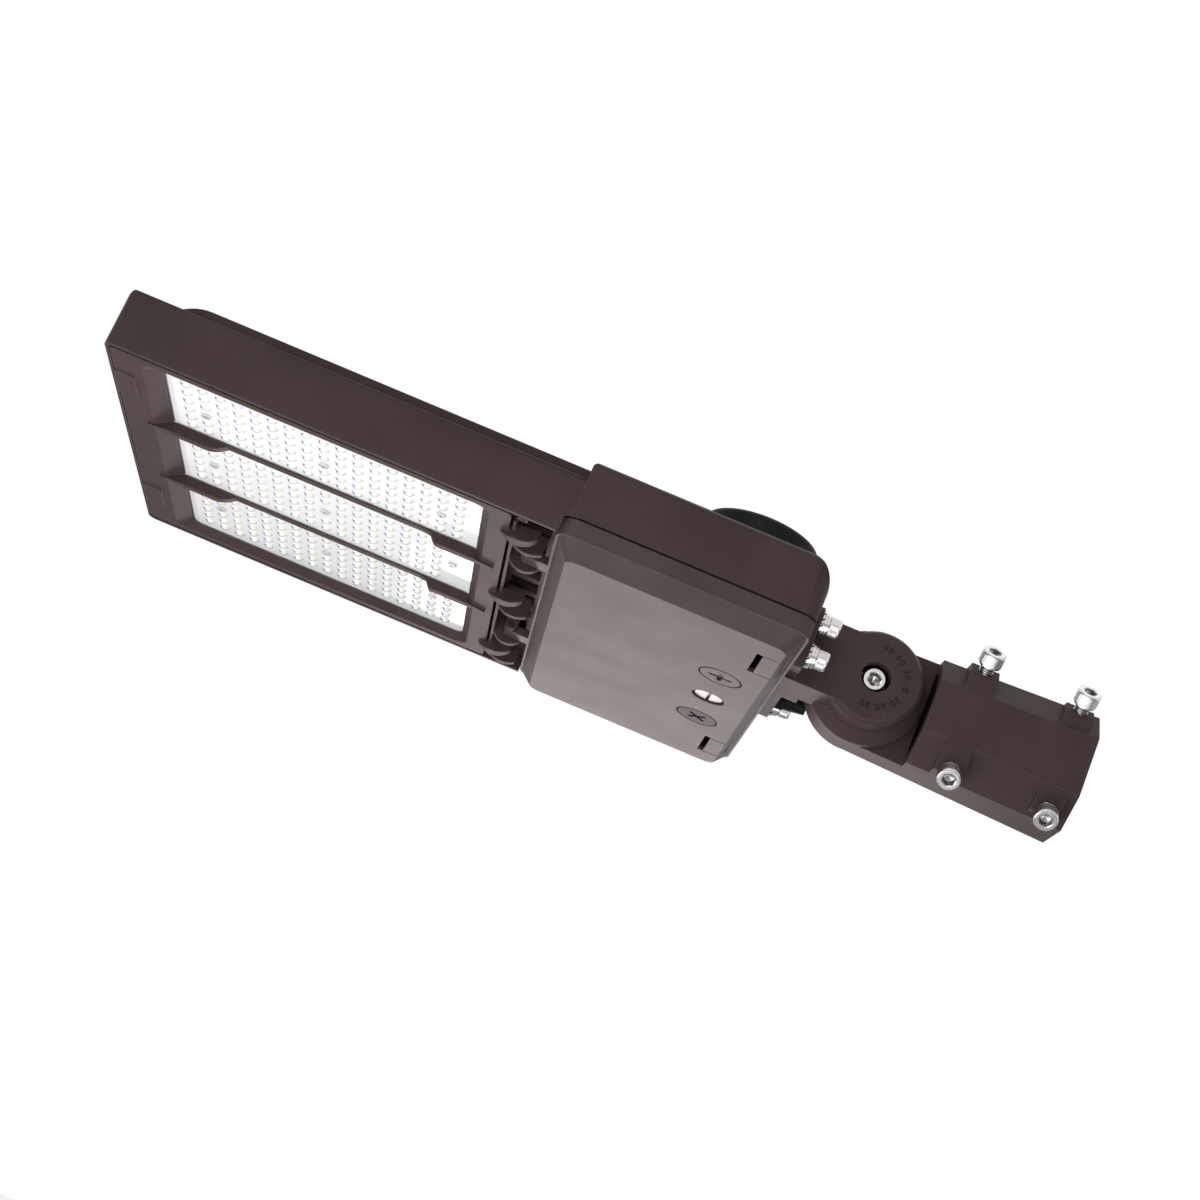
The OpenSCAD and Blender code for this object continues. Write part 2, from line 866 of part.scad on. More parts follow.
// one cooling fin, its front end a quarter arc from the deck up to the crest
module fin_profile() {
    foot = deck_z + deck_t - 1;
    r = fin_top - foot;
    translate([fin_x0 + r, foot])
        square([fin_x1 - fin_x0 - r, r]);
    intersection() {
        translate([fin_x0 + r, foot])
            circle(r, $fn = 128);
        translate([fin_x0, foot])
            square([r + 1, r]);
    }
}

module fins() {
    for (i = [0:fin_n - 1])
        translate([0, -head_w / 2 + fin_inset + fin_t / 2 + i * fin_pitch, 0])
            along_y(fin_t)
                fin_profile();
}

// thin rib in the airflow gap: a plate whose lower edge is an arc
module rib(x0, x1, drop) {
    c = x1 - x0;
    r = (c * c / 4 + drop * drop) / (2 * drop);
    intersection() {
        translate([x0, -drop - 1])
            square([c, deck_z + drop + 2]);
        union() {
            translate([(x0 + x1) / 2, r - drop])
                circle(r, $fn = 96);
            translate([x0, -0.3])
                square([c, deck_z + 1.3]);
        }
    }
}

module housing_ribs() {
    for (y = thin_y)
        translate([0, y, 0])
            along_y(rib_t)
                rib(web_x + web_t, rib_x1 + 1, rib_drop * 0.6);
    // ears of the door hinge: the inner ones are full ribs, the outer ones small lugs
    for (y = arm_ys) {
        translate([0, y + ear_in + ear_t / 2, 0])
            along_y(ear_t)
                rib(web_x + web_t, rib_x1 + 1, rib_drop);
        translate([0, y - ear_in - ear_t / 2, 0])
            along_y(ear_t)
                union() {
                    translate([pin_x, pin_z])
                        circle(eye_r);
                    translate([pin_x - eye_r, pin_z])
                        square([2 * eye_r, deck_z - pin_z + 1]);
                }
    }
}

// web along the lens frame's inner end, open where the hooks pass
module cross_web() {
    color([0.28, 0.24, 0.23])
    at_head()
    difference() {
        translate([web_x, -web_reach, 0])
            cube([web_t, 2 * web_reach, deck_z]);
        for (y = hook_y)
            translate([web_x - 1, y - hook_w / 2 - 1, -1])
                cube([web_t + 2, hook_w + 2, deck_z - 1]);
    }
}

// air slots through the deck above the gap
module air_slots() {
    n = 9;
    l = (head_w - 60) / n;
    strip = 2 * (ear_in + ear_t + 1);
    difference() {
        for (i = [0:n - 1])
            translate([web_x + web_t + 1, -head_w / 2 + 30 + i * l + 4, deck_z - 1])
                cube([gap_l - web_gap - web_t - 5, l - 8, deck_t + 2]);
        // the deck stays whole over the hinge ears
        for (y = arm_ys)
            translate([web_x, y - strip / 2, deck_z - 2])
                cube([gap_l, strip, deck_t + 4]);
    }
}

// places of the screws that hold the driver box on the heat sink, [y, z]
function joint_places() = [for (y = [-joint_out, -joint_in, joint_in, joint_out])
    [y, deck_z + deck_t + joint_up]];

// bosses at the heat sink's inner end
module joint_bosses() {
    for (p = joint_places())
        translate([comp_x0 - joint_boss_l, p[0], p[1]])
            rotate([0, 90, 0])
                cylinder(d = joint_boss_d, h = joint_boss_l);
}

// plan of the pocket between the side walls, its tip corners with radius r
module pocket_plan(r) {
    rrect(tip_x + web_t, door_x + 8, -head_w / 2 + wall, head_w / 2 - wall, r);
}

// near, far and tip wall around the lit half, full height
module side_walls() {
    color([0.28, 0.24, 0.23])
    at_head()
    difference() {
        optic_block();
        translate([0, 0, -1])
            linear_extrude(side_h + 2)
                pocket_plan(tip_r - web_t);
        // the walls stop short of the door
        translate([door_x - door_gap, -head_w, -1])
            cube([20, 2 * head_w, part_z + 1]);
    }
}

// deck between the walls, with the fins on top
module heat_sink() {
    color([0.28, 0.24, 0.23])
    at_head()
    difference() {
        union() {
            difference() {
                intersection() {
                    optic_block();
                    translate([0, 0, deck_z])
                        linear_extrude(side_h)
                            pocket_plan(tip_r);
                }
                translate([tip_x + wall + 4, -head_w / 2, deck_z + deck_t])
                    cube([head_l, head_w, side_h]);
                air_slots();
            }
            fins();
            joint_bosses();
        }
        // threads of the lens screws and of the ears' screws in the deck
        for (m = [-1:1])
            for (p = lens_screw_places(m))
                translate([p[0], p[1], deck_z - 1])
                    cylinder(d = lens_screw_d + 2 * run, h = deck_t + 1);
        for (p = ear_places())
            translate([p[0], p[1], deck_z - 1])
                cylinder(d = ear_screw_d + 2 * run, h = 4);
        // threads of the joint screws
        for (p = joint_places())
            translate([comp_x0 - joint_screw_l, p[0], p[1]])
                rotate([0, 90, 0])
                    cylinder(d = joint_screw_d + 2 * run, h = joint_screw_l + 1);
    }
}

// ribs, hinge ears and screw bosses under the deck, along the airflow gap
module gap_ribs() {
    color([0.28, 0.24, 0.23])
    at_head()
    difference() {
        intersection() {
            union() {
                housing_ribs();
                frame_ear_bosses();
            }
            translate([frame_end - 10, -head_w / 2 + wall, -20])
                cube([gap_l + 20, head_w - 2 * wall, deck_z + 20]);
        }
        // hinge pins
        for (y = arm_ys)
            translate([pin_x, y, pin_z])
                rotate([90, 0, 0])
                    cylinder(d = pin_d + 2 * run, h = arm_w + 2 * ear_gap + 2 * ear_t + 4, center = true);
        for (p = ear_places())
            translate([p[0], p[1], ear_z - 1])
                cylinder(d = ear_screw_d + 2 * run, h = deck_z);
    }
}

// ---- driver box ----
module driver_box() {
    color([0.28, 0.24, 0.23])
    at_head()
    difference() {
        union() {
            comp_block(0);
            hump_block(0);
        }
        difference() {
            union() {
                comp_block(wall);
                hump_block(wall);
                translate([0, 0, part_z - 1])
                    linear_extrude(6)
                        comp_plan(wall);
            }
            inner_bosses();
        }
        // flange bolt holes, gland hole and receptacle hole
        translate([-30, 0, 0])
            along_x(31)
                flange_holes(m8_d + 2 * run);
        translate([-wall - 1, gland_y, gland_z])
            rotate([0, 90, 0])
                cylinder(d = gland_d + 2 * run, h = wall + 2);
        translate([-cap_x, 0, hump_h - wall - 1])
            cylinder(d = recept_d - 16, h = wall + 2);
        for (a = [0, 180])
            rotate_about(-cap_x, a)
                translate([recept_d / 2 - 4, 0, hump_h - 9])
                    cylinder(d = recept_screw_d + 2 * run, h = 12);
        // threads of the driver screws
        for (p = driver_screw_places())
            translate([p[0], p[1], driver_top - 0.5])
                cylinder(d = driver_screw_d + 2 * run, h = 3.5);
        // holes of the joint screws
        for (p = joint_places())
            translate([comp_x0 - 1, p[0], p[1]])
                rotate([0, 90, 0])
                    cylinder(d = joint_screw_d + 2 * run, h = wall + 2);
        // thread of the door screw
        translate([-plug_x, 0, post_z - 1])
            cylinder(d = screw_d + 2 * run, h = post_h + 2);
    }
}

// screws from inside the driver box into the heat sink
module joint_screws() {
    color("silver")
    at_head()
        for (p = joint_places())
            translate([comp_x0 + wall, p[0], p[1]])
                rotate([0, -90, 0])
                    pan_screw(joint_screw_d, wall + joint_screw_l - 2, 2 * joint_screw_d,
                        joint_screw_d / 2);
}

module rotate_about(x, a) {
    translate([x, 0, 0])
        rotate(a)
            children();
}

// bosses inside the compartment: bolt columns, driver pads, door screw post
module inner_bosses() {
    for (y = [-bolt_y, bolt_y])
        for (z = [-bolt_dz / 2, bolt_dz / 2])
            translate([-24, y, axis_h + z])
                rotate([0, 90, 0])
                    cylinder(d = m8_d + 8, h = 23);
    for (p = driver_screw_places())
        translate([p[0], p[1], driver_top])
            cylinder(d = 12, h = comp_h - driver_top - 1);
    translate([-plug_x, 0, post_z])
        cylinder(d = 18, h = post_h);
    translate([-plug_x, -6, post_z])
        cube([plug_x - 1, 12, post_h]);
    translate([-plug_x + 10, -2, post_z + post_h - 1])
        cube([plug_x - 11, 4, 12]);
    for (a = [0, 180])
        rotate_about(-cap_x, a)
            translate([recept_d / 2 - 4, 0, hump_h - 10])
                cylinder(d = 8, h = 9);
}

// ---- lens frame ----
function window_y(m) = m * window_pitch;
function row_y(m) = m * (window_pitch - led_shift);
// columns and rows that a screw displaces: middle window between two rows
function screw_cols(m) = m == 0 ? [2, screw_mid, led_cols] : [2, screw_mid, led_cols - 1];
function screw_y(m) = row_y(m) - m * led_py / 2;
function col_x(c) = led_x0 + (c - 1) * led_px;
function row_off(r) = (r - (led_rows + 1) / 2) * led_py;
function lens_screw_places(m) = [for (c = screw_cols(m)) [col_x(c), screw_y(m)]];
function led_here(m, c, r) =
    len([for (s = screw_cols(m))
        if (s == c && abs(row_y(m) + row_off(r) - screw_y(m)) < led_py * 0.6) 1]) == 0
    && !(m == 0 && c == led_cols);
function led_places(m) = [for (c = [1:led_cols]) for (r = [1:led_rows])
    if (led_here(m, c, r)) [col_x(c), row_y(m) + row_off(r)]];

function ear_places() = [for (s = [-1, 1])
    [frame_end + ear_l - 4, s * (head_w / 2 - wall - frame_gap - 4)]];

module frame_ear_bosses() {
    for (p = ear_places())
        translate([p[0], p[1], ear_z + 3 + seat])
            cylinder(d = 8, h = deck_z - ear_z - 3);
}

// the recess: one sloped funnel through the frame's ledge
module recess_funnel() {
    hull() {
        translate([0, 0, -0.01])
            linear_extrude(0.01)
                rrect(recess_x0, recess_x1, -recess_w / 2 - slope_side, recess_w / 2 + slope_side,
                    recess_r, $fn = 32);
        translate([0, 0, ledge_t])
            linear_extrude(0.01)
                rrect(lens_x0, lens_x1, -recess_w / 2, recess_w / 2, recess_r - 4, $fn = 32);
    }
}

// side view of a cross bar: high ends with a curved step down to a low middle
module bar_profile() {
    x0 = lens_x0 + bar_tip_l;
    x1 = lens_x1 - bar_end_l;
    top = ledge_t + 0.01;
    r = bar_mid_z + bar_drop;
    difference() {
        translate([recess_x0 - 4, -bar_drop])
            square([recess_x1 - recess_x0 + 13, top + bar_drop]);
        translate([x0 + bar_step, -bar_drop - 1])
            square([x1 - x0 - 2 * bar_step, r + 1]);
        // curved steps
        intersection() {
            translate([x0 + bar_step, -bar_drop])
                scale_x(bar_step, r)
                    circle(r);
            translate([x0, -bar_drop - 1])
                square([bar_step + 1, r + 1]);
        }
        intersection() {
            translate([x1 - bar_step, -bar_drop])
                scale_x(bar_step, r)
                    circle(r);
            translate([x1 - bar_step - 1, -bar_drop - 1])
                square([bar_step + 1, r + 1]);
        }
        // the ends run out to the frame's surface
        translate([recess_x0 - 4, -bar_drop])
            rotate(-atan2(bar_drop, 12))
                translate([-20, -10])
                    square([32, 10]);
        translate([recess_x1 + 9, -bar_drop])
            rotate(atan2(bar_drop, 12))
                translate([-12, -10])
                    square([32, 10]);
    }
}

module scale_x(a, b) {
    polygon([for (i = [0:24]) [-a * cos(i * 7.5), b * sin(i * 7.5)]]);
}

// bar with boat shaped ends, seen from below
module bar_plan() {
    x0 = recess_x0 - 4;
    x1 = recess_x1 + 9;
    polygon([[x0, 0], [x0 + 14, bar_w / 2], [x1 - 14, bar_w / 2], [x1, 0],
        [x1 - 14, -bar_w / 2], [x0 + 14, -bar_w / 2]]);
}

module cross_bars() {
    for (s = [-1, 1])
        translate([0, s * window_pitch / 2, 0])
            intersection() {
                along_y(bar_w + 2)
                    bar_profile();
                translate([0, 0, -bar_drop - 1])
                    linear_extrude(ledge_t + bar_drop + 1)
                        bar_plan();
            }
}

// hook of the lens frame that reaches into the airflow gap
module hook() {
    l = hook_x1 - hook_tip;
    r = (l * l / 4 + hook_drop * hook_drop) / (2 * hook_drop);
    intersection() {
        along_y(hook_w)
            intersection() {
                translate([hook_tip + l * 0.44, r - hook_drop])
                    circle(r, $fn = 96);
                translate([hook_tip, -hook_drop - 1])
                    polygon([[0, 0], [l, 0], [l, hook_drop + 8], [l * 0.5, hook_drop + 6.5],
                        [0, hook_drop + 2]]);
            }
        translate([0, 0, -hook_drop - 1])
            linear_extrude(20)
                polygon([[hook_tip, 0], [hook_tip + 9, hook_w / 2], [hook_x1, hook_w / 2],
                    [hook_x1, -hook_w / 2 + 3], [hook_tip + 9, -hook_w / 2]]);
    }
}

module lens_frame() {
    color([0.3, 0.26, 0.25])
    at_head()
    difference() {
        union() {
            difference() {
                linear_extrude(ledge_t)
                    rrect(frame_tip + 0.8, frame_end, -frame_w / 2, frame_w / 2, tip_r - 2.5);
                recess_funnel();
            }
            // upright rim round the boards
            difference() {
                linear_extrude(deck_z - frame_seal)
                    rrect(frame_tip + 0.8, frame_end, -frame_w / 2, frame_w / 2, tip_r - 2.5);
                translate([0, 0, ledge_t])
                    linear_extrude(deck_z)
                        rrect(frame_tip + 4, frame_end - 3, -frame_w / 2 + 3,
                            frame_w / 2 - 3, 3);
                translate([0, 0, -1])
                    linear_extrude(deck_z)
                        rrect(frame_tip + 5, frame_end - 4, -frame_w / 2 + 4,
                            frame_w / 2 - 4, 3);
            }
            cross_bars();
            for (y = hook_y)
                translate([0, y, 0])
                    hook();
            // catch tabs at the tip
            for (s = [-1, 1])
                translate([0, 0, -tab_h])
                    linear_extrude(tab_h + 1)
                        rrect(frame_tip + 0.8, frame_tip + tab_l, s * tab_y - tab_w / 2,
                            s * tab_y + tab_w / 2, 2);
            // ears with the fixing screws, beside the side walls
            for (p = ear_places())
                translate([frame_end - 1, p[1] - 4, ear_z])
                    cube([ear_l, 8, 3]);
        }
        for (p = ear_places())
            translate([p[0], p[1], -1])
                cylinder(d = 4.4, h = 10);
    }
}

module frame_gasket() {
    color([0.15, 0.15, 0.15])
    at_head()
        translate([0, 0, deck_z - frame_seal])
            linear_extrude(frame_seal)
                difference() {
                    rrect(frame_tip + 1.2, frame_end - 0.4, -frame_w / 2 + 0.4,
                        frame_w / 2 - 0.4, tip_r - 3);
                    rrect(frame_tip + 3.6, frame_end - 2.8, -frame_w / 2 + 2.8,
                        frame_w / 2 - 2.8, 3);
                }
}

module frame_screws() {
    color("silver")
    at_head()
        for (p = ear_places())
            translate([p[0], p[1], ear_z])
                pan_screw(ear_screw_d, 8, 7, 2);
}

// ---- lenses and boards ----
module lens_outline(m, inset) {
    rrect(lens_x0 - lens_lap + inset, lens_x1 + lens_lap - inset,
        window_y(m) - lens_w / 2 + inset, window_y(m) + lens_w / 2 - inset, 4);
}

module lens_near() {
    color([0.93, 0.95, 0.96])
        lens_body(-1);
}

module lens_middle() {
    color([0.93, 0.95, 0.96])
        lens_body(0);
}

module lens_far() {
    color([0.93, 0.95, 0.96])
        lens_body(1);
}

module lens_body(m) {
    at_head()
    difference() {
        union() {
            translate([0, 0, lens_z])
                linear_extrude(lens_t + skirt_h)
                    lens_outline(m, 0);
            for (p = led_places(m))
                translate([p[0], p[1], lens_z + dome_r - dome_h])
                    sphere(dome_r);
        }
        // hollow over the LEDs
        difference() {
            translate([0, 0, lens_z + lens_t])
                linear_extrude(2 * dome_r)
                    lens_outline(m, 2);
            for (p = lens_screw_places(m))
                translate([p[0], p[1], lens_z])
                    cylinder(d = 7, h = lens_t + skirt_h);
        }
        for (p = lens_screw_places(m))
            translate([p[0], p[1], lens_z - 1])
                cylinder(d = 3.6, h = lens_t + skirt_h + 2);
    }
}

module lens_seals() {
    color([0.85, 0.85, 0.85])
    at_head()
        translate([0, 0, ledge_t])
            linear_extrude(lens_seal)
                for (m = [-1:1])
                    difference() {
                        lens_outline(m, 0);
                        lens_outline(m, seal_w);
                    }
}

module lens_screws() {
    color("white")
    at_head()
        for (m = [-1:1])
            for (p = lens_screw_places(m))
                translate([p[0], p[1], lens_z])
                    pan_screw(lens_screw_d, deck_z - lens_z + deck_t - 1.5, 6.4, 1.8);
}

module board(m) {
    color([0.9, 0.9, 0.88])
    at_head()
    difference() {
        union() {
            translate([0, 0, board_z])
                linear_extrude(board_t)
                    lens_outline(m, -0.2);
            for (p = led_places(m))
                translate([p[0] - led_s / 2, p[1] - led_s / 2, board_z - led_h])
                    cube([led_s, led_s, led_h + 0.1]);
        }
        for (p = lens_screw_places(m))
            translate([p[0], p[1], board_z - 2])
                cylinder(d = 3.6, h = 5);
    }
}

module board_near() {
    board(-1);
}

module board_middle() {
    board(0);
}

module board_far() {
    board(1);
}

// ---- driver compartment ----
function driver_screw_places() = [for (s = [-1, 1])
    for (dx = [-20, 20]) [driver_x + dx, s * (driver_l / 2 + driver_ear / 2)]];

module led_driver() {
    color([0.75, 0.75, 0.77])
    at_head()
        difference() {
            union() {
                translate([driver_x - driver_w / 2, -driver_l / 2, driver_top - driver_h])
                    cube([driver_w, driver_l, driver_h]);
                for (s = [-1, 1])
                    translate([driver_x - 26, s > 0 ? driver_l / 2 - 1 : -driver_l / 2 - driver_ear,
                        driver_top - 2])
                        cube([52, driver_ear + 1, 2]);
            }
            for (p = driver_screw_places())
                translate([p[0], p[1], driver_top - 3])
                    cylinder(d = 4.5, h = 4);
        }
}

module driver_screws() {
    color("silver")
    at_head()
        for (p = driver_screw_places())
            translate([p[0], p[1], driver_top - 2])
                pan_screw(driver_screw_d, 4.5, 8, 2.4);
}

module surge_protector() {
    color([0.12, 0.12, 0.13])
    at_head()
        translate([surge_x, head_w / 2 - wall - surge_in - surge_l, comp_h - wall - surge_h])
            rrect_block(surge_w, surge_l, surge_h, 3);
}

module rrect_block(a, b, h, r) {
    linear_extrude(h)
        rrect(0, a, 0, b, r);
}

module terminal_block() {
    color([0.9, 0.9, 0.86])
    at_head()
        translate([-block_x, -head_w / 2 + wall + block_in, comp_h - wall - block_h])
            difference() {
                cube([block_w, block_n * block_pitch + 4, block_h]);
                for (i = [0:block_n - 1])
                    translate([block_w / 2, 7 + block_pitch * i, -1])
                        cylinder(d = block_pitch / 2, h = 9);
            }
}

module hinge_pins() {
    color("silver")
    at_head()
        for (y = arm_ys)
            translate([pin_x, y, pin_z])
                rotate([90, 0, 0])
                    cylinder(d = pin_d, h = arm_w + 2 * ear_gap + 2 * ear_t - 1, center = true);
}

// ---- photocell receptacle and cap ----
module receptacle_gasket() {
    color([0.1, 0.1, 0.1])
    at_head()
        translate([-cap_x, 0, hump_h])
            difference() {
                washer(recept_d, recept_d - 16, base_z - hump_h);
                for (a = [0, 180])
                    rotate(a)
                        translate([recept_d / 2 - 4, 0, -1])
                            cylinder(d = 4, h = 5);
            }
}

// curved contact slots, swept through the turning angle
module blade_slots(width, depth, extra) {
    for (a = [0, 120, 240])
        rotate(a)
            rotate_extrude(angle = 22 + extra)
                translate([blade_r - width / 2, 0])
                    square([width, depth]);
}

module photocell_receptacle() {
    color([0.12, 0.12, 0.12])
    at_head()
        translate([-cap_x, 0, base_z])
            difference() {
                union() {
                    cylinder(d = recept_d, h = 4);
                    cylinder(d = recept_d - 8, h = recept_h);
                    translate([0, 0, hump_h - base_z - 16])
                        cylinder(d = recept_d - 18, h = 20);
                }
                translate([0, 0, recept_h - 11])
                    blade_slots(3.4, 12, cap_turn + 4);
                for (a = [0, 180])
                    rotate(a)
                        translate([recept_d / 2 - 4, 0, 0]) {
                            translate([0, 0, -1])
                                cylinder(d = 4, h = 30);
                            translate([0, 0, 4])
                                cylinder(d = 8, h = recept_h);
                        }
            }
}

module receptacle_screws() {
    color("silver")
    at_head()
        for (a = [0, 180])
            rotate_about(-cap_x, a)
                translate([recept_d / 2 - 4, 0, base_z + 4])
                    mirror([0, 0, 1])
                        pan_screw(recept_screw_d, 11, 7, 2.4);
}

module shorting_cap() {
    color([0.07, 0.07, 0.07])
    at_head()
        translate([-cap_x, 0, 0])
            union() {
                difference() {
                    rotate_extrude($fn = 96)
                        polygon(concat([[0, cap_bottom], [cap_r, cap_bottom],
                            [cap_r, cap_top - 9]],
                            [for (i = [1:8]) [cap_r - 5 + 5 * cos(i * 8.4),
                                cap_top - 9 + 5 * sin(i * 8.4)]],
                            [[cap_r - 18, cap_top - 1], [0, cap_top]]));
                    translate([0, 0, cap_bottom - 1])
                        cylinder(d = recept_d + 2, h = base_z + recept_h + seat - cap_bottom + 1);
                }
                translate([0, 0, base_z + recept_h - 9])
                    rotate(2)
                        blade_slots(1.6, 10.5, 0);
            }
}

// ---- driver door ----
module door_solid() {
    // upright wall
    linear_extrude(door_top)
        rrect(door_x, 0, -head_w / 2, head_w / 2, rear_r);
    // bevelled face
    hull() {
        translate([0, 0, -0.01])
            linear_extrude(0.02)
                rrect(door_x + lip_w, -lip_w, -head_w / 2 + lip_w, head_w / 2 - lip_w,
                    rear_r - lip_w, $fn = 32);
        translate([0, 0, -door_drop])
            linear_extrude(0.01)
                rrect(door_x + bevel_hinge, -bevel_rear, -head_w / 2 + bevel_side,
                    head_w / 2 - bevel_side, face_r, $fn = 32);
    }
}

module door_hollow() {
    translate([0, 0, 0])
        linear_extrude(door_top + 1)
            rrect(door_x + wall, -wall, -head_w / 2 + wall, head_w / 2 - wall, rear_r - wall);
    hull() {
        translate([0, 0, -0.01])
            linear_extrude(0.02)
                rrect(door_x + lip_w + wall, -lip_w - wall, -head_w / 2 + lip_w + wall,
                    head_w / 2 - lip_w - wall, rear_r - wall, $fn = 32);
        translate([0, 0, floor_z])
            linear_extrude(0.01)
                rrect(door_x + bevel_hinge + 1, -bevel_rear - 1, -head_w / 2 + bevel_side + 1,
                    head_w / 2 - bevel_side - 1, face_r, $fn = 32);
    }
}

module at_plugs() {
    for (s = [-1, 1])
        translate([-plug_x, s * plug_y, 0])
            children();
}

module driver_door() {
    color([0.33, 0.29, 0.28])
    at_head()
    difference() {
        union() {
            difference() {
                door_solid();
                door_hollow();
            }
            // hinge arms
            for (y = arm_ys)
                translate([0, y, 0])
                    along_y(arm_w) {
                        translate([pin_x, pin_z])
                            circle(eye_r);
                        translate([pin_x, 0])
                            square([pin_reach + 1, 5.5]);
                    }
            // bosses of the plugs and the screw
            at_plugs()
                translate([0, 0, -door_drop + 1])
                    cylinder(d = boss_d, h = boss_h + wall - 1);
            translate([-plug_x, 0, -door_drop + 1])
                cylinder(d = screw_well_d + 6, h = boss_h + wall - 1);
            // cheeks that hold the latch pins
            for (s = [-1, 1])
                for (t = [-1, 1])
                    translate([latch_axis_x - 4, s * latch_y + t * (latch_w / 2 + 3.5) - 1.5,
                        -door_drop + 2])
                        cube([8 - 1.5, 3, latch_axis_z + door_drop + 1.5]);
        }
        for (y = arm_ys)
            translate([pin_x, y, pin_z])
                rotate([90, 0, 0])
                    cylinder(d = pin_d + 2 * run, h = arm_w + 2, center = true);
        // plug seats and bores
        at_plugs() {
            translate([0, 0, -door_drop - 1])
                cylinder(d = plug_d + 2 * run, h = plug_cap_h + 1);
            translate([0, 0, -door_drop - 1])
                cylinder(d = plug_shank_d + 2 * run, h = 30);
        }
        // screw well and bore
        translate([-plug_x, 0, -door_drop - 1])
            cylinder(d = screw_well_d, h = well_deep + 1);
        translate([-plug_x, 0, -door_drop - 1])
            cylinder(d = screw_d + 2 * run, h = 30);
        // latch windows, open towards the rear bevel
        for (s = [-1, 1])
            translate([latch_x0 - latch_slot, s * latch_y - latch_w / 2 - latch_gap,
                -door_drop - 1])
                cube([latch_l + latch_slot + latch_gap, latch_w + 2 * latch_gap,
                    door_drop + 1 + floor_z + 4.5]);
        for (s = [-1, 1])
            translate([latch_axis_x, s * latch_y, latch_axis_z])
                rotate([90, 0, 0])
                    cylinder(d = latch_pin_d + 2 * run, h = latch_w + 12, center = true);
    }
}

module door_gasket() {
    color([0.12, 0.12, 0.12])
    at_head()
        translate([0, 0, door_top])
            linear_extrude(door_gap)
                difference() {
                    rrect(door_x + 0.4, -0.4, -head_w / 2 + 0.4, head_w / 2 - 0.4, rear_r - 0.4);
                    rrect(door_x + wall, -wall, -head_w / 2 + wall, head_w / 2 - wall,
                        rear_r - wall);
                }
}

// latch: tongue flush with the door's face and bevel, eye on the pin, arm up to the rear wall
module latch_profile() {
    slope = door_drop / (bevel_rear - lip_w);
    polygon([[latch_x0, -door_drop], [-bevel_rear, -door_drop],
        [-bevel_rear + 3.5, -door_drop + 3.5 * slope],
        [latch_axis_x + 3, latch_axis_z - 3], [latch_axis_x + 3, latch_axis_z],
        [latch_axis_x - 3, latch_axis_z], [latch_axis_x - 3, -door_drop + 2.4],
        [latch_x0, -door_drop + 2.4]]);
    translate([latch_axis_x, latch_axis_z])
        circle(3.2);
}

module latch(s) {
    color([0.33, 0.29, 0.28])
    at_head()
        translate([0, s * latch_y, 0])
            difference() {
                union() {
                    along_y(latch_w)
                        latch_profile();
                    // arm with its nose towards the rear wall
                    along_y(latch_w / 2) {
                        translate([latch_axis_x - 2, latch_axis_z])
                            square([3.5, part_z + 5 - latch_axis_z]);
                        translate([latch_axis_x - 2, part_z + 2])
                            polygon([[0, 0], [-wall - nose_gap - latch_axis_x + 2, 0],
                                [-wall - nose_gap - latch_axis_x + 2, 1.2], [3.5, 3]]);
                    }
                }
                translate([latch_axis_x, 0, latch_axis_z])
                    rotate([90, 0, 0])
                        cylinder(d = latch_pin_d + 2 * run, h = latch_w + 2, center = true);
            }
}

module door_latch_near() {
    latch(-1);
}

module door_latch_far() {
    latch(1);
}

module latch_pins() {
    color("silver")
    at_head()
        for (s = [-1, 1])
            translate([latch_axis_x, s * latch_y, latch_axis_z])
                rotate([90, 0, 0])
                    cylinder(d = latch_pin_d, h = latch_w + 10, center = true);
}

module door_screw() {
    color("silver")
    at_head()
        translate([-plug_x, 0, -door_drop + well_deep - screw_head_h])
            difference() {
                union() {
                    cylinder(d = screw_head_d, h = screw_head_h);
                    cylinder(d = screw_d, h = post_z + door_drop - well_deep + screw_head_h - seat);
                }
                translate([0, 0, 0])
                    cube([2, screw_head_d + 2, 3], center = true);
            }
}

module screw_retainer() {
    color("silver")
    at_head()
        translate([-plug_x, 0, boss_top])
            washer(15, screw_d + 2 * run, 1.2);
}

// coin slot plug: a cap with a cross slot and a shank
module plug(s, turn) {
    at_head()
        translate([-plug_x, s * plug_y, -door_drop])
            difference() {
                union() {
                    cylinder(d = plug_d, h = plug_cap_h - 0.6);
                    cylinder(d = plug_shank_d, h = boss_h + wall - 0.5);
                }
                for (a = [0, 90])
                    rotate(a + turn)
                        cube([plug_d * 0.55, plug_slot, 2.4], center = true);
                translate([0, 0, 4])
                    cylinder(d = plug_shank_d - 5, h = boss_h + wall);
            }
}

module power_plug() {
    color([0.32, 0.28, 0.27])
        plug(-1, 0);
}

module colour_plug() {
    color([0.38, 0.37, 0.37])
        plug(1, 45);
}

module plug_seals() {
    color([0.1, 0.1, 0.1])
    at_head()
        at_plugs()
            translate([0, 0, -door_drop + plug_cap_h - 0.6])
                washer(plug_d - 1, plug_shank_d + 0.8, 0.6);
}

module selector_switches() {
    color([0.15, 0.2, 0.16])
    at_head()
        at_plugs()
            translate([0, 0, boss_top])
                union() {
                    translate([-16, -16, 0])
                        cube([32, 32, 9]);
                    translate([0, 0, -4])
                        cylinder(d = 6, h = 5);
                }
}

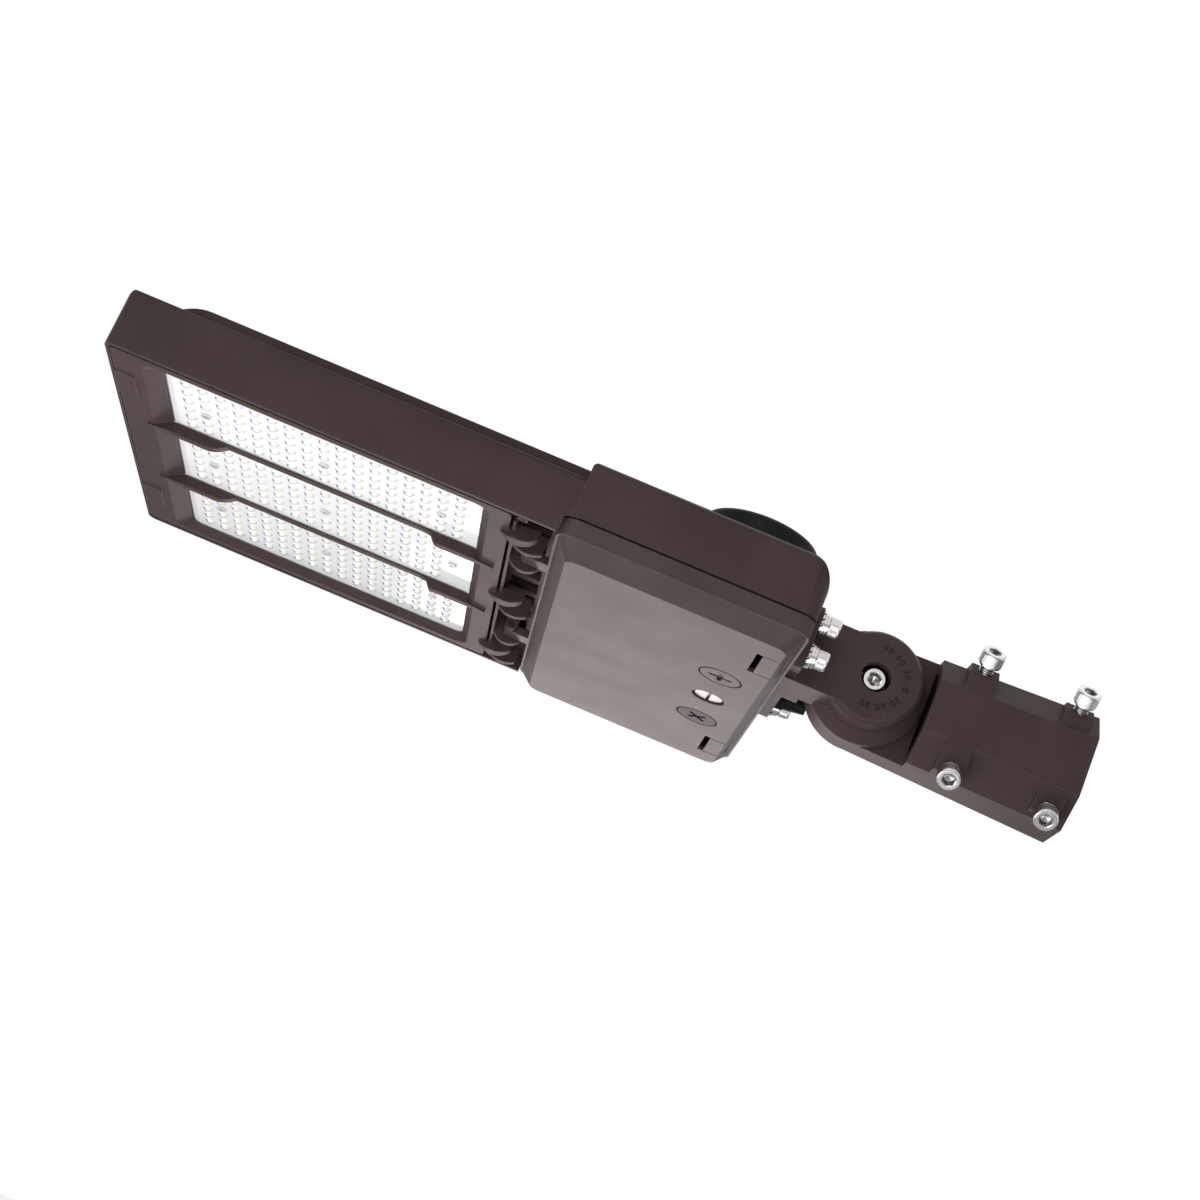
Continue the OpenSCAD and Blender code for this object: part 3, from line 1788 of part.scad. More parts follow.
slip_fitter();
clamp_screws();
knuckle_bolt();
knuckle_spring_washer();
knuckle_washer();
knuckle_nut();
knuckle_bracket();
bracket_gasket();
bracket_bolts();
bracket_spring_washers();
bracket_flat_washers();
bracket_lock_washers();
cable_gland();
heat_sink();
side_walls();
cross_web();
gap_ribs();
driver_box();
joint_screws();
lens_frame();
frame_screws();
frame_gasket();
lens_near();
lens_middle();
lens_far();
lens_seals();
lens_screws();
board_near();
board_middle();
board_far();
hinge_pins();
led_driver();
driver_screws();
surge_protector();
terminal_block();
photocell_receptacle();
receptacle_gasket();
receptacle_screws();
shorting_cap();
driver_door();
door_gasket();
door_latch_near();
door_latch_far();
latch_pins();
door_screw();
screw_retainer();
power_plug();
colour_plug();
plug_seals();
selector_switches();
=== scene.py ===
# %% [markdown]
# # A shoebox area light, dressed
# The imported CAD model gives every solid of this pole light: the flat head with its three
# lens windows, the driver door, the knuckle and the slip fitter. Here the solids get their
# finishes, and the small things that a casting drawing leaves out are added: screw threads,
# knurled screw heads, the cast numbers of the tilt scale and the light of a photo studio.
# All lengths are in metres, in the CAD's own frame: +X out of the fitter, the light shines
# towards -Z.

# %% Load the frame
import json
import math

import bmesh
import bpy
from mathutils import Matrix, Vector


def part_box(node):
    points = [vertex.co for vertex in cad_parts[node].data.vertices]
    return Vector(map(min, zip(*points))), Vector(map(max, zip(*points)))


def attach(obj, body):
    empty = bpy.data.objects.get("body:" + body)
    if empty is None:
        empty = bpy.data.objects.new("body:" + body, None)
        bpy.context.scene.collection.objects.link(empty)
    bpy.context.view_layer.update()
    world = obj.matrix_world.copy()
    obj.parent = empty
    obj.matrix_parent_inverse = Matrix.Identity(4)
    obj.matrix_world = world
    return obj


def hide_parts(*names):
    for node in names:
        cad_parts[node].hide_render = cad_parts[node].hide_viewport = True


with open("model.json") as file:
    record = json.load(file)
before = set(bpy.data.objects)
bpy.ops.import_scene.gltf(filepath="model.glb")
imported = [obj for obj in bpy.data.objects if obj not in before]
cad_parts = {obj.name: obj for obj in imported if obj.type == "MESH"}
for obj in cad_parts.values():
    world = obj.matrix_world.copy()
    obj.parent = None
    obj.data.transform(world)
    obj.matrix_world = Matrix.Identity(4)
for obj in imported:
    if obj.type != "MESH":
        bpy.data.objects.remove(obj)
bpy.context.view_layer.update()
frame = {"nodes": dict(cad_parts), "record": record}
MM = 0.001

# %% [markdown]
# ## Where the photographer stood
# The light hangs free in front of a white wall, seen from below and from its near long
# side, with the camera rolled by about 23 degrees. A camera's turn can be set from angles,
# or from the three directions of its own axes. The second is used, because the directions
# come straight from the perspective of the head's long edges.

# %% Camera
CAMERA_PLACE = Vector((-0.3047, -1.4735, -0.4719))
CAMERA_RIGHT = Vector((0.921781, -0.100882, 0.374357))
CAMERA_AHEAD = Vector((-0.016818, 0.954243, 0.298559))
LENS_MM = 70.56
SENSOR_MM = 36.0
FARTHEST = 60.0


def put(name, data):
    """A new object in the scene."""
    made = bpy.data.objects.new(name, data)
    bpy.context.scene.collection.objects.link(made)
    return made


def make_camera():
    """A long lens at the photograph's place and turn."""
    data = bpy.data.cameras.new("studio_camera")
    data.lens = LENS_MM
    data.sensor_width = SENSOR_MM
    data.clip_end = FARTHEST
    camera = put("studio_camera", data)
    up = CAMERA_RIGHT.cross(CAMERA_AHEAD)
    axes = Matrix((CAMERA_RIGHT, up, -CAMERA_AHEAD)).transposed()
    camera.matrix_world = Matrix.Translation(CAMERA_PLACE) @ axes.to_4x4()
    bpy.context.scene.camera = camera
    return camera


camera = make_camera()
print("lens", camera.data.lens, "mm, distance to the fitter", round(CAMERA_PLACE.length, 3), "m")

# %% [markdown]
# ## Sums with sockets
# A material is a graph of nodes, and a pattern is arithmetic on its values. Wiring a Math
# node by hand for every plus and times hides the sum, so a small class wraps a socket and
# lets Python's own operators add the nodes. Any other node comes from one method.

# %% Wire
class Wire:
    """One output socket that can be used in sums."""

    def __init__(self, finish, socket):
        self.finish = finish
        self.socket = socket

    def sum_node(self, operation, first, second=0.0):
        return self.finish.sum_of(operation, first, second)

    def __add__(self, other):
        return self.sum_node("ADD", self, other)

    __radd__ = __add__

    def __sub__(self, other):
        return self.sum_node("SUBTRACT", self, other)

    def __rsub__(self, other):
        return self.sum_node("SUBTRACT", other, self)

    def __mul__(self, other):
        return self.sum_node("MULTIPLY", self, other)

    __rmul__ = __mul__

    def __pow__(self, power):
        return self.sum_node("POWER", self, power)

    def above(self, limit):
        return self.sum_node("GREATER_THAN", self, limit)

    def between(self, low, high):
        """0 under low, 1 over high, a smooth step in between."""
        return self.finish.node("ShaderNodeMapRange", {"interpolation_type": "SMOOTHSTEP"},
                                {0: self, 1: low, 2: high, 3: 0.0, 4: 1.0})


print("a wire can be used in sums, and has:", [n for n in dir(Wire) if not n.startswith("_")])

# %% [markdown]
# ## A finish is built node by node
# Every material here repeats a few moves: noise of a given grain, a blend of two colours, a
# normal that rounds sharp edges. Node groups could hold them, but groups hide their values.
# So one class owns the material's tree, and each move is a method that adds its nodes.

# %% Finish
class Finish:
    """A material that is built node by node."""

    def __init__(self, name):
        self.material = bpy.data.materials.new(name)
        self.material.use_nodes = True
        self.tree = self.material.node_tree
        self.tree.nodes.clear()
        self.place = self.node("ShaderNodeTexCoord", out="Object")

    def node(self, kind, settings=None, inputs=None, out=0):
        """Adds a node, sets it, fills or links its inputs and returns one output."""
        made = self.tree.nodes.new(kind)
        for name, value in (settings or {}).items():
            setattr(made, name, value)
        for name, value in (inputs or {}).items():
            if isinstance(value, Wire):
                self.tree.links.new(value.socket, made.inputs[name])
            elif isinstance(value, tuple) and len(value) == 3 and made.inputs[name].type == "RGBA":
                made.inputs[name].default_value = (*value, 1.0)
            else:
                made.inputs[name].default_value = value
        return Wire(self, made.outputs[out])

    def sum_of(self, operation, first, second=0.0):
        return self.node("ShaderNodeMath", {"operation": operation}, {0: first, 1: second})

    def noise(self, grain, detail=3.0, rough=0.55, stretch=None):
        """Cloudy noise with patches of about `grain` metres."""
        place = self.place
        if stretch:
            place = self.node("ShaderNodeMapping", None, {"Vector": place, "Scale": stretch})
        return self.node("ShaderNodeTexNoise", {"noise_dimensions": "3D"},
                         {"Vector": place, "Scale": 1.0 / grain, "Detail": detail,
                          "Roughness": rough})

    def cells(self, grain):
        """Distance to the nearest of random points about `grain` metres apart."""
        return self.node("ShaderNodeTexVoronoi", {"feature": "F1"},
                         {"Vector": self.place, "Scale": 1.0 / grain})

    def blend(self, factor, first, second):
        """A colour between two others."""
        return self.node("ShaderNodeMix", {"data_type": "RGBA"},
                         {0: factor, 6: first, 7: second}, out=2)

    def axis(self, name):
        """One coordinate of the place, in metres."""
        return self.node("ShaderNodeSeparateXYZ", None, {0: self.place}, out=name)

    def off_grid(self, letter, start, step):
        """Distance along one axis from the nearest of grid lines `step` apart."""
        turns = (self.axis(letter) - start) * (1.0 / step)
        return (turns - self.sum_of("ROUND", turns)) * step

    def shaded(self, tone, hollow, dark):
        """The tone with painted shade above the height `hollow`, if there is one."""
        if hollow is None:
            return tone
        return self.blend(self.axis("Z").above(hollow) * 0.85, tone, dark)

    def edge(self, radius, width=0.16):
        """1 on sharp edges and 0 on flat faces, from a normal that is rounded over `radius`."""
        round_normal = self.soft_edges(radius)
        true_normal = self.node("ShaderNodeNewGeometry", out="Normal")
        along = self.node("ShaderNodeVectorMath", {"operation": "DOT_PRODUCT"},
                          {0: round_normal, 1: true_normal}, out="Value")
        return (1.0 - along).between(0.01, width)

    def soft_edges(self, radius):
        """A normal that rounds the edges of a CAD solid over `radius` metres."""
        return self.node("ShaderNodeBevel", {"samples": 4}, {"Radius": radius})

    def relief(self, height, depth, under=None):
        """A bump of `depth` metres from a height between 0 and 1."""
        inputs = {"Height": height, "Distance": depth, "Strength": 1.0}
        if under:
            inputs["Normal"] = under
        return self.node("ShaderNodeBump", None, inputs)

    def coat(self, **sockets):
        """Ends the graph in a Principled shader and returns the material."""
        names = {key.replace("_", " ").title().replace("Ior", "IOR"): value
                 for key, value in sockets.items()}
        shader = self.node("ShaderNodeBsdfPrincipled", None, names)
        self.end(shader)
        return self.material

    def end(self, shader):
        """Links a shader to the material's surface."""
        last = self.tree.nodes.new("ShaderNodeOutputMaterial")
        self.tree.links.new(shader.socket, last.inputs["Surface"])


print("a finish can make:", [n for n in dir(Finish) if not n.startswith("_")])

# %% [markdown]
# ## Bronze powder coat
# The castings are sprayed with dry powder that melts into a satin skin: dark brown, with a
# fine orange peel and worn patches along the edges. Every edge also gets a paler tone, a
# painted highlight, in the same pale colour as the wear. It could be one colour with a gloss,
# but then every casting looks like plastic. Here a cloudy tone, a peel bump and an edge mask
# are mixed. The edges of a CAD solid are also perfectly sharp, so the normal is rounded over
# a millimetre, which catches a line of light on each edge.

# %% Powder coat
CAST_EDGE = 1.1 * MM


def powder_coat(name, deep, pale, edge_sheen_and_wear, gloss=0.42, shine=0.06, hollow=None):
    """Satin powder on an aluminium casting, with painted shade above the height `hollow`."""
    skin = Finish(name)
    cloud = skin.noise(0.045, 3.0).between(0.3, 0.7)
    peel = skin.noise(0.0013, 2.0, 0.45)
    dust = skin.cells(0.00045).between(0.0, 0.5)
    rim = skin.edge(CAST_EDGE)
    worn = rim * skin.noise(0.006, 4.0, 0.7).between(0.42, 0.66)
    tone = skin.blend(cloud, deep, pale)
    # Every edge gets a painted highlight and worn patches get wear, both towards the pale edge
    # colour.
    tone = skin.blend(rim * 0.38 + worn * 0.42, tone, edge_sheen_and_wear)
    # Painted shade in a recess above the height `hollow`.
    tone = skin.shaded(tone, hollow, (0.008, 0.007, 0.007))
    dull = cloud * 0.04 + peel * 0.08 + (gloss - 0.05) - worn * 0.07
    normal = skin.relief(peel * 0.75 + dust * 0.25, 0.000045, skin.soft_edges(CAST_EDGE))
    return skin.coat(base_color=tone, roughness=dull, normal=normal, specular_ior_level=shine)


# Height above which the plugs' slot recesses get painted shade.
PLUG_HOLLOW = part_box("power_plug")[0][2] + 0.5 * MM
# Each set is deep tone, pale tone and edge colour; the edge colour serves a painted edge highlight
# and wear.
BRONZE = ((0.051, 0.0345, 0.0330), (0.061, 0.0425, 0.0405), (0.140, 0.112, 0.108))
# The door's set is a lighter copy of the bronze: painted light on its face, and a paler edge
# colour for a brighter painted edge highlight.
DOOR_LIT_TONES = ((0.057, 0.0405, 0.0395), (0.067, 0.0490, 0.0480), (0.205, 0.172, 0.168))
bronze = powder_coat("bronze_powder", *BRONZE, gloss=0.46)
door_bronze = powder_coat("door_powder", *DOOR_LIT_TONES, gloss=0.42, shine=0.10)
plug_bronze = powder_coat("plug_powder", *DOOR_LIT_TONES, gloss=0.42, shine=0.10, hollow=PLUG_HOLLOW)
print("powder coats:", bronze.name, door_bronze.name, plug_bronze.name)

# %% [markdown]
# ## Plated steel
# Screws and washers are zinc or nickel plated. Plating is a mirror that thousands of fine
# scratches have dulled, with a faint yellow or blue cast where the passivation pooled. A
# metallic shader with uneven roughness gives this: the scratches are a bump, the cast is a
# slow noise between two greys, and ambient occlusion finds the sockets and thread roots and
# darkens their colour there: painted shade.

# %% Steel finishes
def plated_steel(name, cool, warm, gloss, socket_shade=1.0):
    """Plated steel with turning marks, soft edges and painted shade in its hollows, scaled by the
    last argument.
    """
    plate = Finish(name)
    pool = plate.noise(0.005, 3.0).between(0.3, 0.75)
    marks = plate.noise(0.0007, 5.0, 0.75)
    grime = plate.noise(0.0024, 4.0, 0.7).between(0.52, 0.78)
    tone = plate.blend(pool, cool, warm)
    tone = plate.blend(grime * 0.35, tone, (0.30, 0.28, 0.26))
    # Ambient occlusion darkens the colour in sockets and thread roots: painted shade.
    open_air = plate.node("ShaderNodeAmbientOcclusion", {"samples": 4}, {"Distance": 0.004},
                          out="AO")
    crevice_shade = (1.0 - open_air.between(0.30, 0.85)) * socket_shade
    tone = plate.blend(crevice_shade, tone, (0.045, 0.042, 0.040))
    normal = plate.relief(marks, 0.00001, plate.soft_edges(0.0003))
    return plate.coat(base_color=tone, roughness=marks * 0.12 + grime * 0.16 + gloss,
                      metallic=1.0, normal=normal)


zinc = plated_steel("zinc_plate", (0.60, 0.60, 0.62), (0.68, 0.65, 0.60), 0.15)
nickel = plated_steel("nickel_plate", (0.44, 0.41, 0.39), (0.52, 0.48, 0.45), 0.34)
bright = plated_steel("bright_plate", (0.84, 0.84, 0.85), (0.88, 0.87, 0.85), 0.42, socket_shade=0.3)
print("steels:", zinc.name, nickel.name, bright.name)

# %% [markdown]
# ## Rubber and moulded plastic
# Seals are matt rubber, the photocell cap and the gland are plastic from a spark-eroded
# mould, whose surface is a field of tiny pits. Both are cheap to make with cells and noise:
# the pits become a bump, and the same pattern varies the roughness a little.

# %% Plastics and rubbers
def moulded(name, deep, pale, gloss, grain=0.0006, depth=0.00003, specular=0.45, hollow=None):
    """Moulded plastic or rubber with a fine pitted skin, with painted shade above the height
    `hollow`.
    """
    skin = Finish(name)
    pits = skin.cells(grain).between(0.05, 0.6)
    cloud = skin.noise(0.02, 3.0).between(0.3, 0.7)
    scuff = skin.noise(0.004, 5.0, 0.75).between(0.58, 0.8)
    tone = skin.blend(cloud, deep, pale)
    tone = skin.blend(scuff * 0.3, tone, tuple(0.7 * c + 0.06 for c in pale))
    # Painted shade in a recess above the height `hollow`.
    tone = skin.shaded(tone, hollow, (0.008, 0.008, 0.008))
    normal = skin.relief(pits, depth, skin.soft_edges(0.0006))
    return skin.coat(base_color=tone, roughness=pits * 0.08 + scuff * 0.12 + gloss,
                     normal=normal, specular_ior_level=specular)


cap_black = moulded("cap_black", (0.0065, 0.006, 0.0055), (0.010, 0.0095, 0.009), 0.40,
                    specular=0.10)
# The same black dresses the real rubber seals and the painted gap shadows.
rubber_and_gap_shadow_black = moulded("rubber_and_gap_shadow_black", (0.004, 0.004, 0.004), (0.008, 0.008, 0.008), 0.68, 0.0009,
                     specular=0.06)
seal_grey = moulded("seal_silicone", (0.50, 0.50, 0.49), (0.60, 0.60, 0.58), 0.50, 0.0009)
switch_grey = moulded("switch_grey", (0.085, 0.082, 0.082), (0.11, 0.106, 0.105), 0.46)
plug_grey = moulded("plug_grey", (0.060, 0.055, 0.056), (0.072, 0.066, 0.067), 0.46,
                    specular=0.12, hollow=PLUG_HOLLOW)
block_white = moulded("block_white", (0.74, 0.73, 0.68), (0.80, 0.79, 0.75), 0.38)
print("mouldings:", [m.name for m in (cap_black, rubber_and_gap_shadow_black, seal_grey, switch_grey, plug_grey,
                                      block_white)])

# %% [markdown]
# ## The driver's case
# The driver is a folded sheet case, mill finished: rolling left straight scratches along
# its length. Stretching the noise along Y draws them, and the two folds stay plain.

# %% Rolled sheet
def rolled_sheet(name):
    """Aluminium sheet with rolling lines along Y."""
    sheet = Finish(name)
    lines = sheet.noise(0.0006, 4.0, 0.7, stretch=(1.0, 0.03, 1.0))
    cloud = sheet.noise(0.03, 3.0).between(0.3, 0.7)
    tone = sheet.blend(cloud, (0.58, 0.58, 0.59), (0.66, 0.66, 0.67))
    normal = sheet.relief(lines, 0.00002, sheet.soft_edges(0.0008))
    return sheet.coat(base_color=tone, roughness=lines * 0.2 + 0.26, metallic=1.0, normal=normal)


driver_sheet = rolled_sheet("driver_sheet")
print("sheet:", driver_sheet.name)

# %% [markdown]
# ## Light boards
# Under each lens plate lies an aluminium board with a white solder mask, and on it the
# LEDs: a pale ceramic square around a yellow phosphor. The chips are solids of the CAD, so
# height tells mask from chip, and the distance from the nearest grid point tells phosphor
# from ceramic.

# %% Boards
CHIP_HIGH = 0.7 * MM
BOARD_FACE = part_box("board_middle")[0][2] + CHIP_HIGH


def light_board(name, first, pitch):
    """White solder mask, and LEDs with a yellow phosphor."""
    board = Finish(name)
    speck = board.noise(0.0009, 3.0)
    cloud = board.noise(0.02, 2.0).between(0.3, 0.7)
    height = board.axis("Z")
    chip = 1.0 - height.above(BOARD_FACE - 0.05 * MM)
    across = [board.sum_of("ABSOLUTE", board.off_grid(letter, start, step))
              for letter, start, step in zip("XY", first, pitch)]
    inside = 1.0 - board.sum_of("MAXIMUM", across[0], across[1]).between(0.8 * MM, 1.15 * MM)
    mask = board.blend(cloud, (0.86, 0.87, 0.87), (0.91, 0.915, 0.915))
    ceramic = board.blend(inside, (0.84, 0.82, 0.74), (0.86, 0.66, 0.12))
    tone = board.blend(chip, mask, ceramic)
    normal = board.relief(speck, 0.00002, board.soft_edges(0.0003))
    return board.coat(base_color=tone, roughness=speck * 0.12 + 0.30, normal=normal)


PITCH = (11.3 * MM, 13.7 * MM)
ROWS = {"near": -97.0 * MM, "middle": 0.0, "far": 97.0 * MM}
FIRST_LED_X = -609.5 * MM
FIRST = {row: (FIRST_LED_X, ROWS[row] + PITCH[1] / 2) for row in ROWS}
boards = {row: light_board("board_" + row, FIRST[row], PITCH) for row in ROWS}
print("boards:", sorted(boards), "mask face at", round(BOARD_FACE, 5))

# %% [markdown]
# ## Moulded lens plates
# Each lens plate is one clear moulding with a dome over every LED. Real glass shaders bend
# every ray and stay noisy, and a plate of them turns dark in an exported model. A glossy
# skin that is slightly see-through stands in for it, with painted light and shade in its
# colour: the domes are slightly greyer than the plate, each has painted shade at its limb, a
# grey ring round its foot and a dark arc on one side, and the image of its yellow phosphor
# through the clear plastic is painted on the other. The plate's end towards the tip has
# painted blue-grey shade on its bevel.

# %% Lens plates
DOME_HIGH = 2.4 * MM
PLATE_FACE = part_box("lens_middle")[0][2] + DOME_HIGH


def clear_moulding(name, first, pitch):
    """Clear acrylic with domes on a grid, with painted light and shade in its colour."""
    clear = Finish(name)
    ripple = clear.noise(0.004, 3.0)
    dome = 1.0 - clear.axis("Z").above(PLATE_FACE - 0.08 * MM)
    off = {letter: clear.off_grid(letter, start, step)
           for letter, start, step in zip("XY", first, pitch)}

    def reach(x, y):
        """Distance in the plate's plane from a point at (x, y) off the dome's middle."""
        return ((off["X"] - x) * (off["X"] - x) + (off["Y"] - y) * (off["Y"] - y)) ** 0.5

    def tipwards(distance):
        """1 on the part of the plate that is farther than `distance` beyond the first LEDs."""
        limit = first[0] - distance
        return 1.0 - clear.axis("X").between(limit, limit + 0.5 * MM)

    # Painted shade: a grey ring round each dome's foot.
    foot = reach(0.0, 0.0).between(3.3 * MM, 4.1 * MM)
    cavity = reach(0.2 * MM, 0.0)
    # Painted shade: a dark arc on one side of each dome.
    rim = cavity.between(1.9 * MM, 2.4 * MM) * (1.0 - cavity.between(2.9 * MM, 3.4 * MM))
    west = 1.0 - off["X"].between(-1.9 * MM, -0.7 * MM)
    # Painted refraction: the image of the yellow phosphor, off to one side of the dome.
    phosphor = 1.0 - reach(2.3 * MM, -2.0 * MM).between(0.5 * MM, 1.2 * MM)
    # Painted shade on each dome's limb, where its surface turns away from the view.
    glancing = clear.node("ShaderNodeLayerWeight", None, {"Blend": 0.5}, out="Facing")
    limb = glancing.between(0.40, 0.70) * (1.0 - phosphor)
    # Painted shade: blue-grey on the bevel at the plate's tip end.
    bevel = tipwards(12.8 * MM)
    verge = tipwards(9.4 * MM)
    # The domes are greyer than the flat plate: painted shade.
    tone = clear.blend(dome, (0.995, 0.995, 0.995), (0.90, 0.905, 0.91))
    tone = clear.blend(phosphor * dome * 0.6, tone, (0.93, 0.84, 0.34))
    tone = clear.blend(foot * dome * 0.25, tone, (0.62, 0.64, 0.67))
    tone = clear.blend(rim * dome * west * 0.92, tone, (0.12, 0.13, 0.155))
    tone = clear.blend(limb * dome * 0.74, tone, (0.21, 0.22, 0.25))
    tone = clear.blend(bevel * 0.60 + verge * 0.18, tone, (0.22, 0.25, 0.29))
    cover = dome * 0.08 + bevel * 0.08 + 0.82
    normal = clear.relief(ripple, 0.00004, clear.soft_edges(0.0004))
    return clear.coat(base_color=tone, roughness=ripple * 0.06 + 0.07, alpha=cover,
                      normal=normal, specular_ior_level=0.4)


lenses = {row: clear_moulding("lens_" + row, FIRST[row], PITCH) for row in ROWS}
print("lens plates:", sorted(lenses), "face at", round(PLATE_FACE, 5))

# %% [markdown]
# ## Dressing the solids
# The record says which material slot each CAD node takes. A table from slot to finish
# dresses them all, and the boards and lens plates get their own row's pattern.

# %% Dress
SLOT_FINISH = {
    "bronze_paint": bronze, "door_paint": door_bronze, "zinc_steel": zinc,
    "nickel_steel": nickel, "black_rubber": rubber_and_gap_shadow_black, "silicone": seal_grey,
    "black_plastic": cap_black, "driver_case": driver_sheet, "white_plastic": block_white,
    "grey_plastic": switch_grey,
}


def dress(node, finish):
    """Gives a CAD node one finish."""
    slots = frame["nodes"][node].data.materials
    slots.clear()
    slots.append(finish)


for part in frame["record"]["subparts"]:
    slot = part["material_slot"]
    if slot in SLOT_FINISH:
        dress(part["node"], SLOT_FINISH[slot])
for row in ROWS:
    dress("board_" + row, boards[row])
    dress("lens_" + row, lenses[row])
dress("power_plug", plug_bronze)
dress("frame_screws", bronze)
dress("lens_screws", bright)
dress("colour_plug", plug_grey)
print("dressed:", sum(1 for o in frame["nodes"].values() if o.data.materials[0]))

# %% [markdown]
# ## A socket head screw
# The castings are held with socket head cap screws: a knurled cylinder with a bevelled rim
# and a hexagon socket, on a threaded shank. It could be a lathe profile, but a lathe can't
# make the knurl or the hexagon. So the head is built ring by ring: on every ring the radius
# may change from one side to the next.

# %% Rings
SIDES = 96
KNURL_DEPTH = 0.14 * MM


def ring(mesh, radius, z):
    """One ring of points; `radius` is a length or a rule from angle to length."""
    points = []
    for i in range(SIDES):
        turn = 2.0 * math.pi * i / SIDES
        r = radius(i, turn) if callable(radius) else radius
        points.append(mesh.verts.new((r * math.cos(turn), r * math.sin(turn), z)))
    return points


def loft(mesh, rings):
    """Quads from each ring to the next, fans over the first and the last."""
    for low, high in zip(rings, rings[1:]):
        for i in range(len(low)):
            j = (i + 1) % len(low)
            mesh.faces.new((low[i], low[j], high[j], high[i]))
    for end, turn in ((rings[0], -1), (rings[-1], 1)):
        middle = mesh.verts.new(sum((v.co for v in end), Vector()) / len(end))
        for i in range(len(end)):
            j = (i + 1) % len(end)
            mesh.faces.new((end[i], end[j], middle) if turn > 0 else (end[j], end[i], middle))


def hexagon(across):
    """Rule for a hexagon with `across` between its flats."""
    sixth = math.pi / 3
    return lambda i, turn: across / 2 / math.cos((turn + sixth / 2) % sixth - sixth / 2)


def knurl(radius):
    """Rule for a rim whose every other point is sunk."""
    return lambda i, turn: radius - (KNURL_DEPTH if i % 2 else 0.0)


print("points on a ring:", SIDES, "knurl depth", KNURL_DEPTH)


# %% Head of the screw
def screw_head(mesh, radius, height, key, shank):
    """Closed head: flat under side at 0, rim at `height`, hexagon socket with a drill cone."""
    rim = 0.07 * height
    floor = 0.5 * height
    side = (
        (shank, 0.0), (radius - 0.4 * MM, 0.0),
        (radius - 0.05 * MM, 0.35 * MM), (radius - 0.05 * MM, 0.11 * height),
        (knurl(radius), 0.15 * height), (knurl(radius), 0.80 * height),
        (radius - 0.08 * MM, 0.85 * height), (radius - 0.12 * MM, height - 1.6 * rim),
        (radius - rim * 0.6, height - 0.5 * rim), (radius - 1.5 * rim, height),
    )
    socket = (
        (key * 0.62, height), (hexagon(key), height - 0.4 * MM), (hexagon(key), height - floor),
        (key * 0.42, height - floor), (key * 0.05, height - floor - key * 0.2),
    )
    print("head rings:", len(side), "outside,", len(socket), "in the socket")
    loft(mesh, [ring(mesh, rule, z) for rule, z in side + socket])


# %% [markdown]
# ## Its thread
# A thread is one ridge that climbs by its pitch on every turn. Sweeping a profile along a
# helix would leave it open at both ends. Here every column of points round the shank starts
# a little lower than the one before, and the last column meets the first a whole ridge
# further down. Points beyond the ends are pressed flat, and two caps close the shank.

# %% Thread and whole screw
def screw_thread(mesh, radius, length, pitch, sides=24):
    """Closed threaded shank from 0 down to -length: each column climbs as the helix does."""
    depth = 0.55 * pitch
    sunk, tapered = 0.4 * MM, 1.2 * MM
    form = (0.0, 1.0, 1.0, 0.0)
    rows = int(4 * length / pitch) + 9
    columns = []
    for i in range(sides):
        turn = 2.0 * math.pi * i / sides
        column = []
        for j in range(rows):
            z = (4 - j) * pitch / 4 - pitch * i / sides
            r = radius - depth * (1.0 - form[j % 4])
            z = min(sunk, max(-length, z))
            r = min(r, radius - tapered + (z + length))
            column.append(mesh.verts.new((r * math.cos(turn), r * math.sin(turn), z)))
        columns.append(column)
    for i in range(sides):
        j, shift = (i + 1, 0) if i + 1 < sides else (0, 4)
        for k in range(rows - 1 - shift):
            mesh.faces.new((columns[i][k], columns[i][k + 1], columns[j][k + 1 + shift],
                            columns[j][k + shift]))
    bmesh.ops.remove_doubles(mesh, verts=mesh.verts, dist=1e-7)
    bmesh.ops.dissolve_degenerate(mesh, dist=1e-7, edges=mesh.edges)
    open_edges = [e for e in mesh.edges if e.is_boundary]
    bmesh.ops.holes_fill(mesh, edges=open_edges, sides=0)


def cap_screw(name, length, size, head, height, key, pitch):
    """A whole screw as an object, its head towards +Z."""
    thread = bmesh.new()
    screw_thread(thread, size / 2, length, pitch)
    bmesh.ops.recalc_face_normals(thread, faces=thread.faces)
    whole = bmesh.new()
    screw_head(whole, head / 2, height, key, size * 0.4)
    bmesh.ops.recalc_face_normals(whole, faces=whole.faces)
    shank = bpy.data.meshes.new("shank")
    thread.to_mesh(shank)
    whole.from_mesh(shank)
    mesh = bpy.data.meshes.new(name)
    whole.to_mesh(mesh)
    thread.free()
    whole.free()
    print(name, "faces", len(mesh.polygons))
    return bpy.data.objects.new(name, mesh)


# %% [markdown]
# ## Screws on stations
# Nine such screws stand on the fitter, the bracket and the knuckle, each aimed its own
# way and each stopped at a chance angle, as a spanner leaves them. Copying the mesh by hand
# would work, but a small Geometry Nodes tree says it once: a point for each screw, an
# instance turned to the point's aim, and a seeded turn about its own axis.

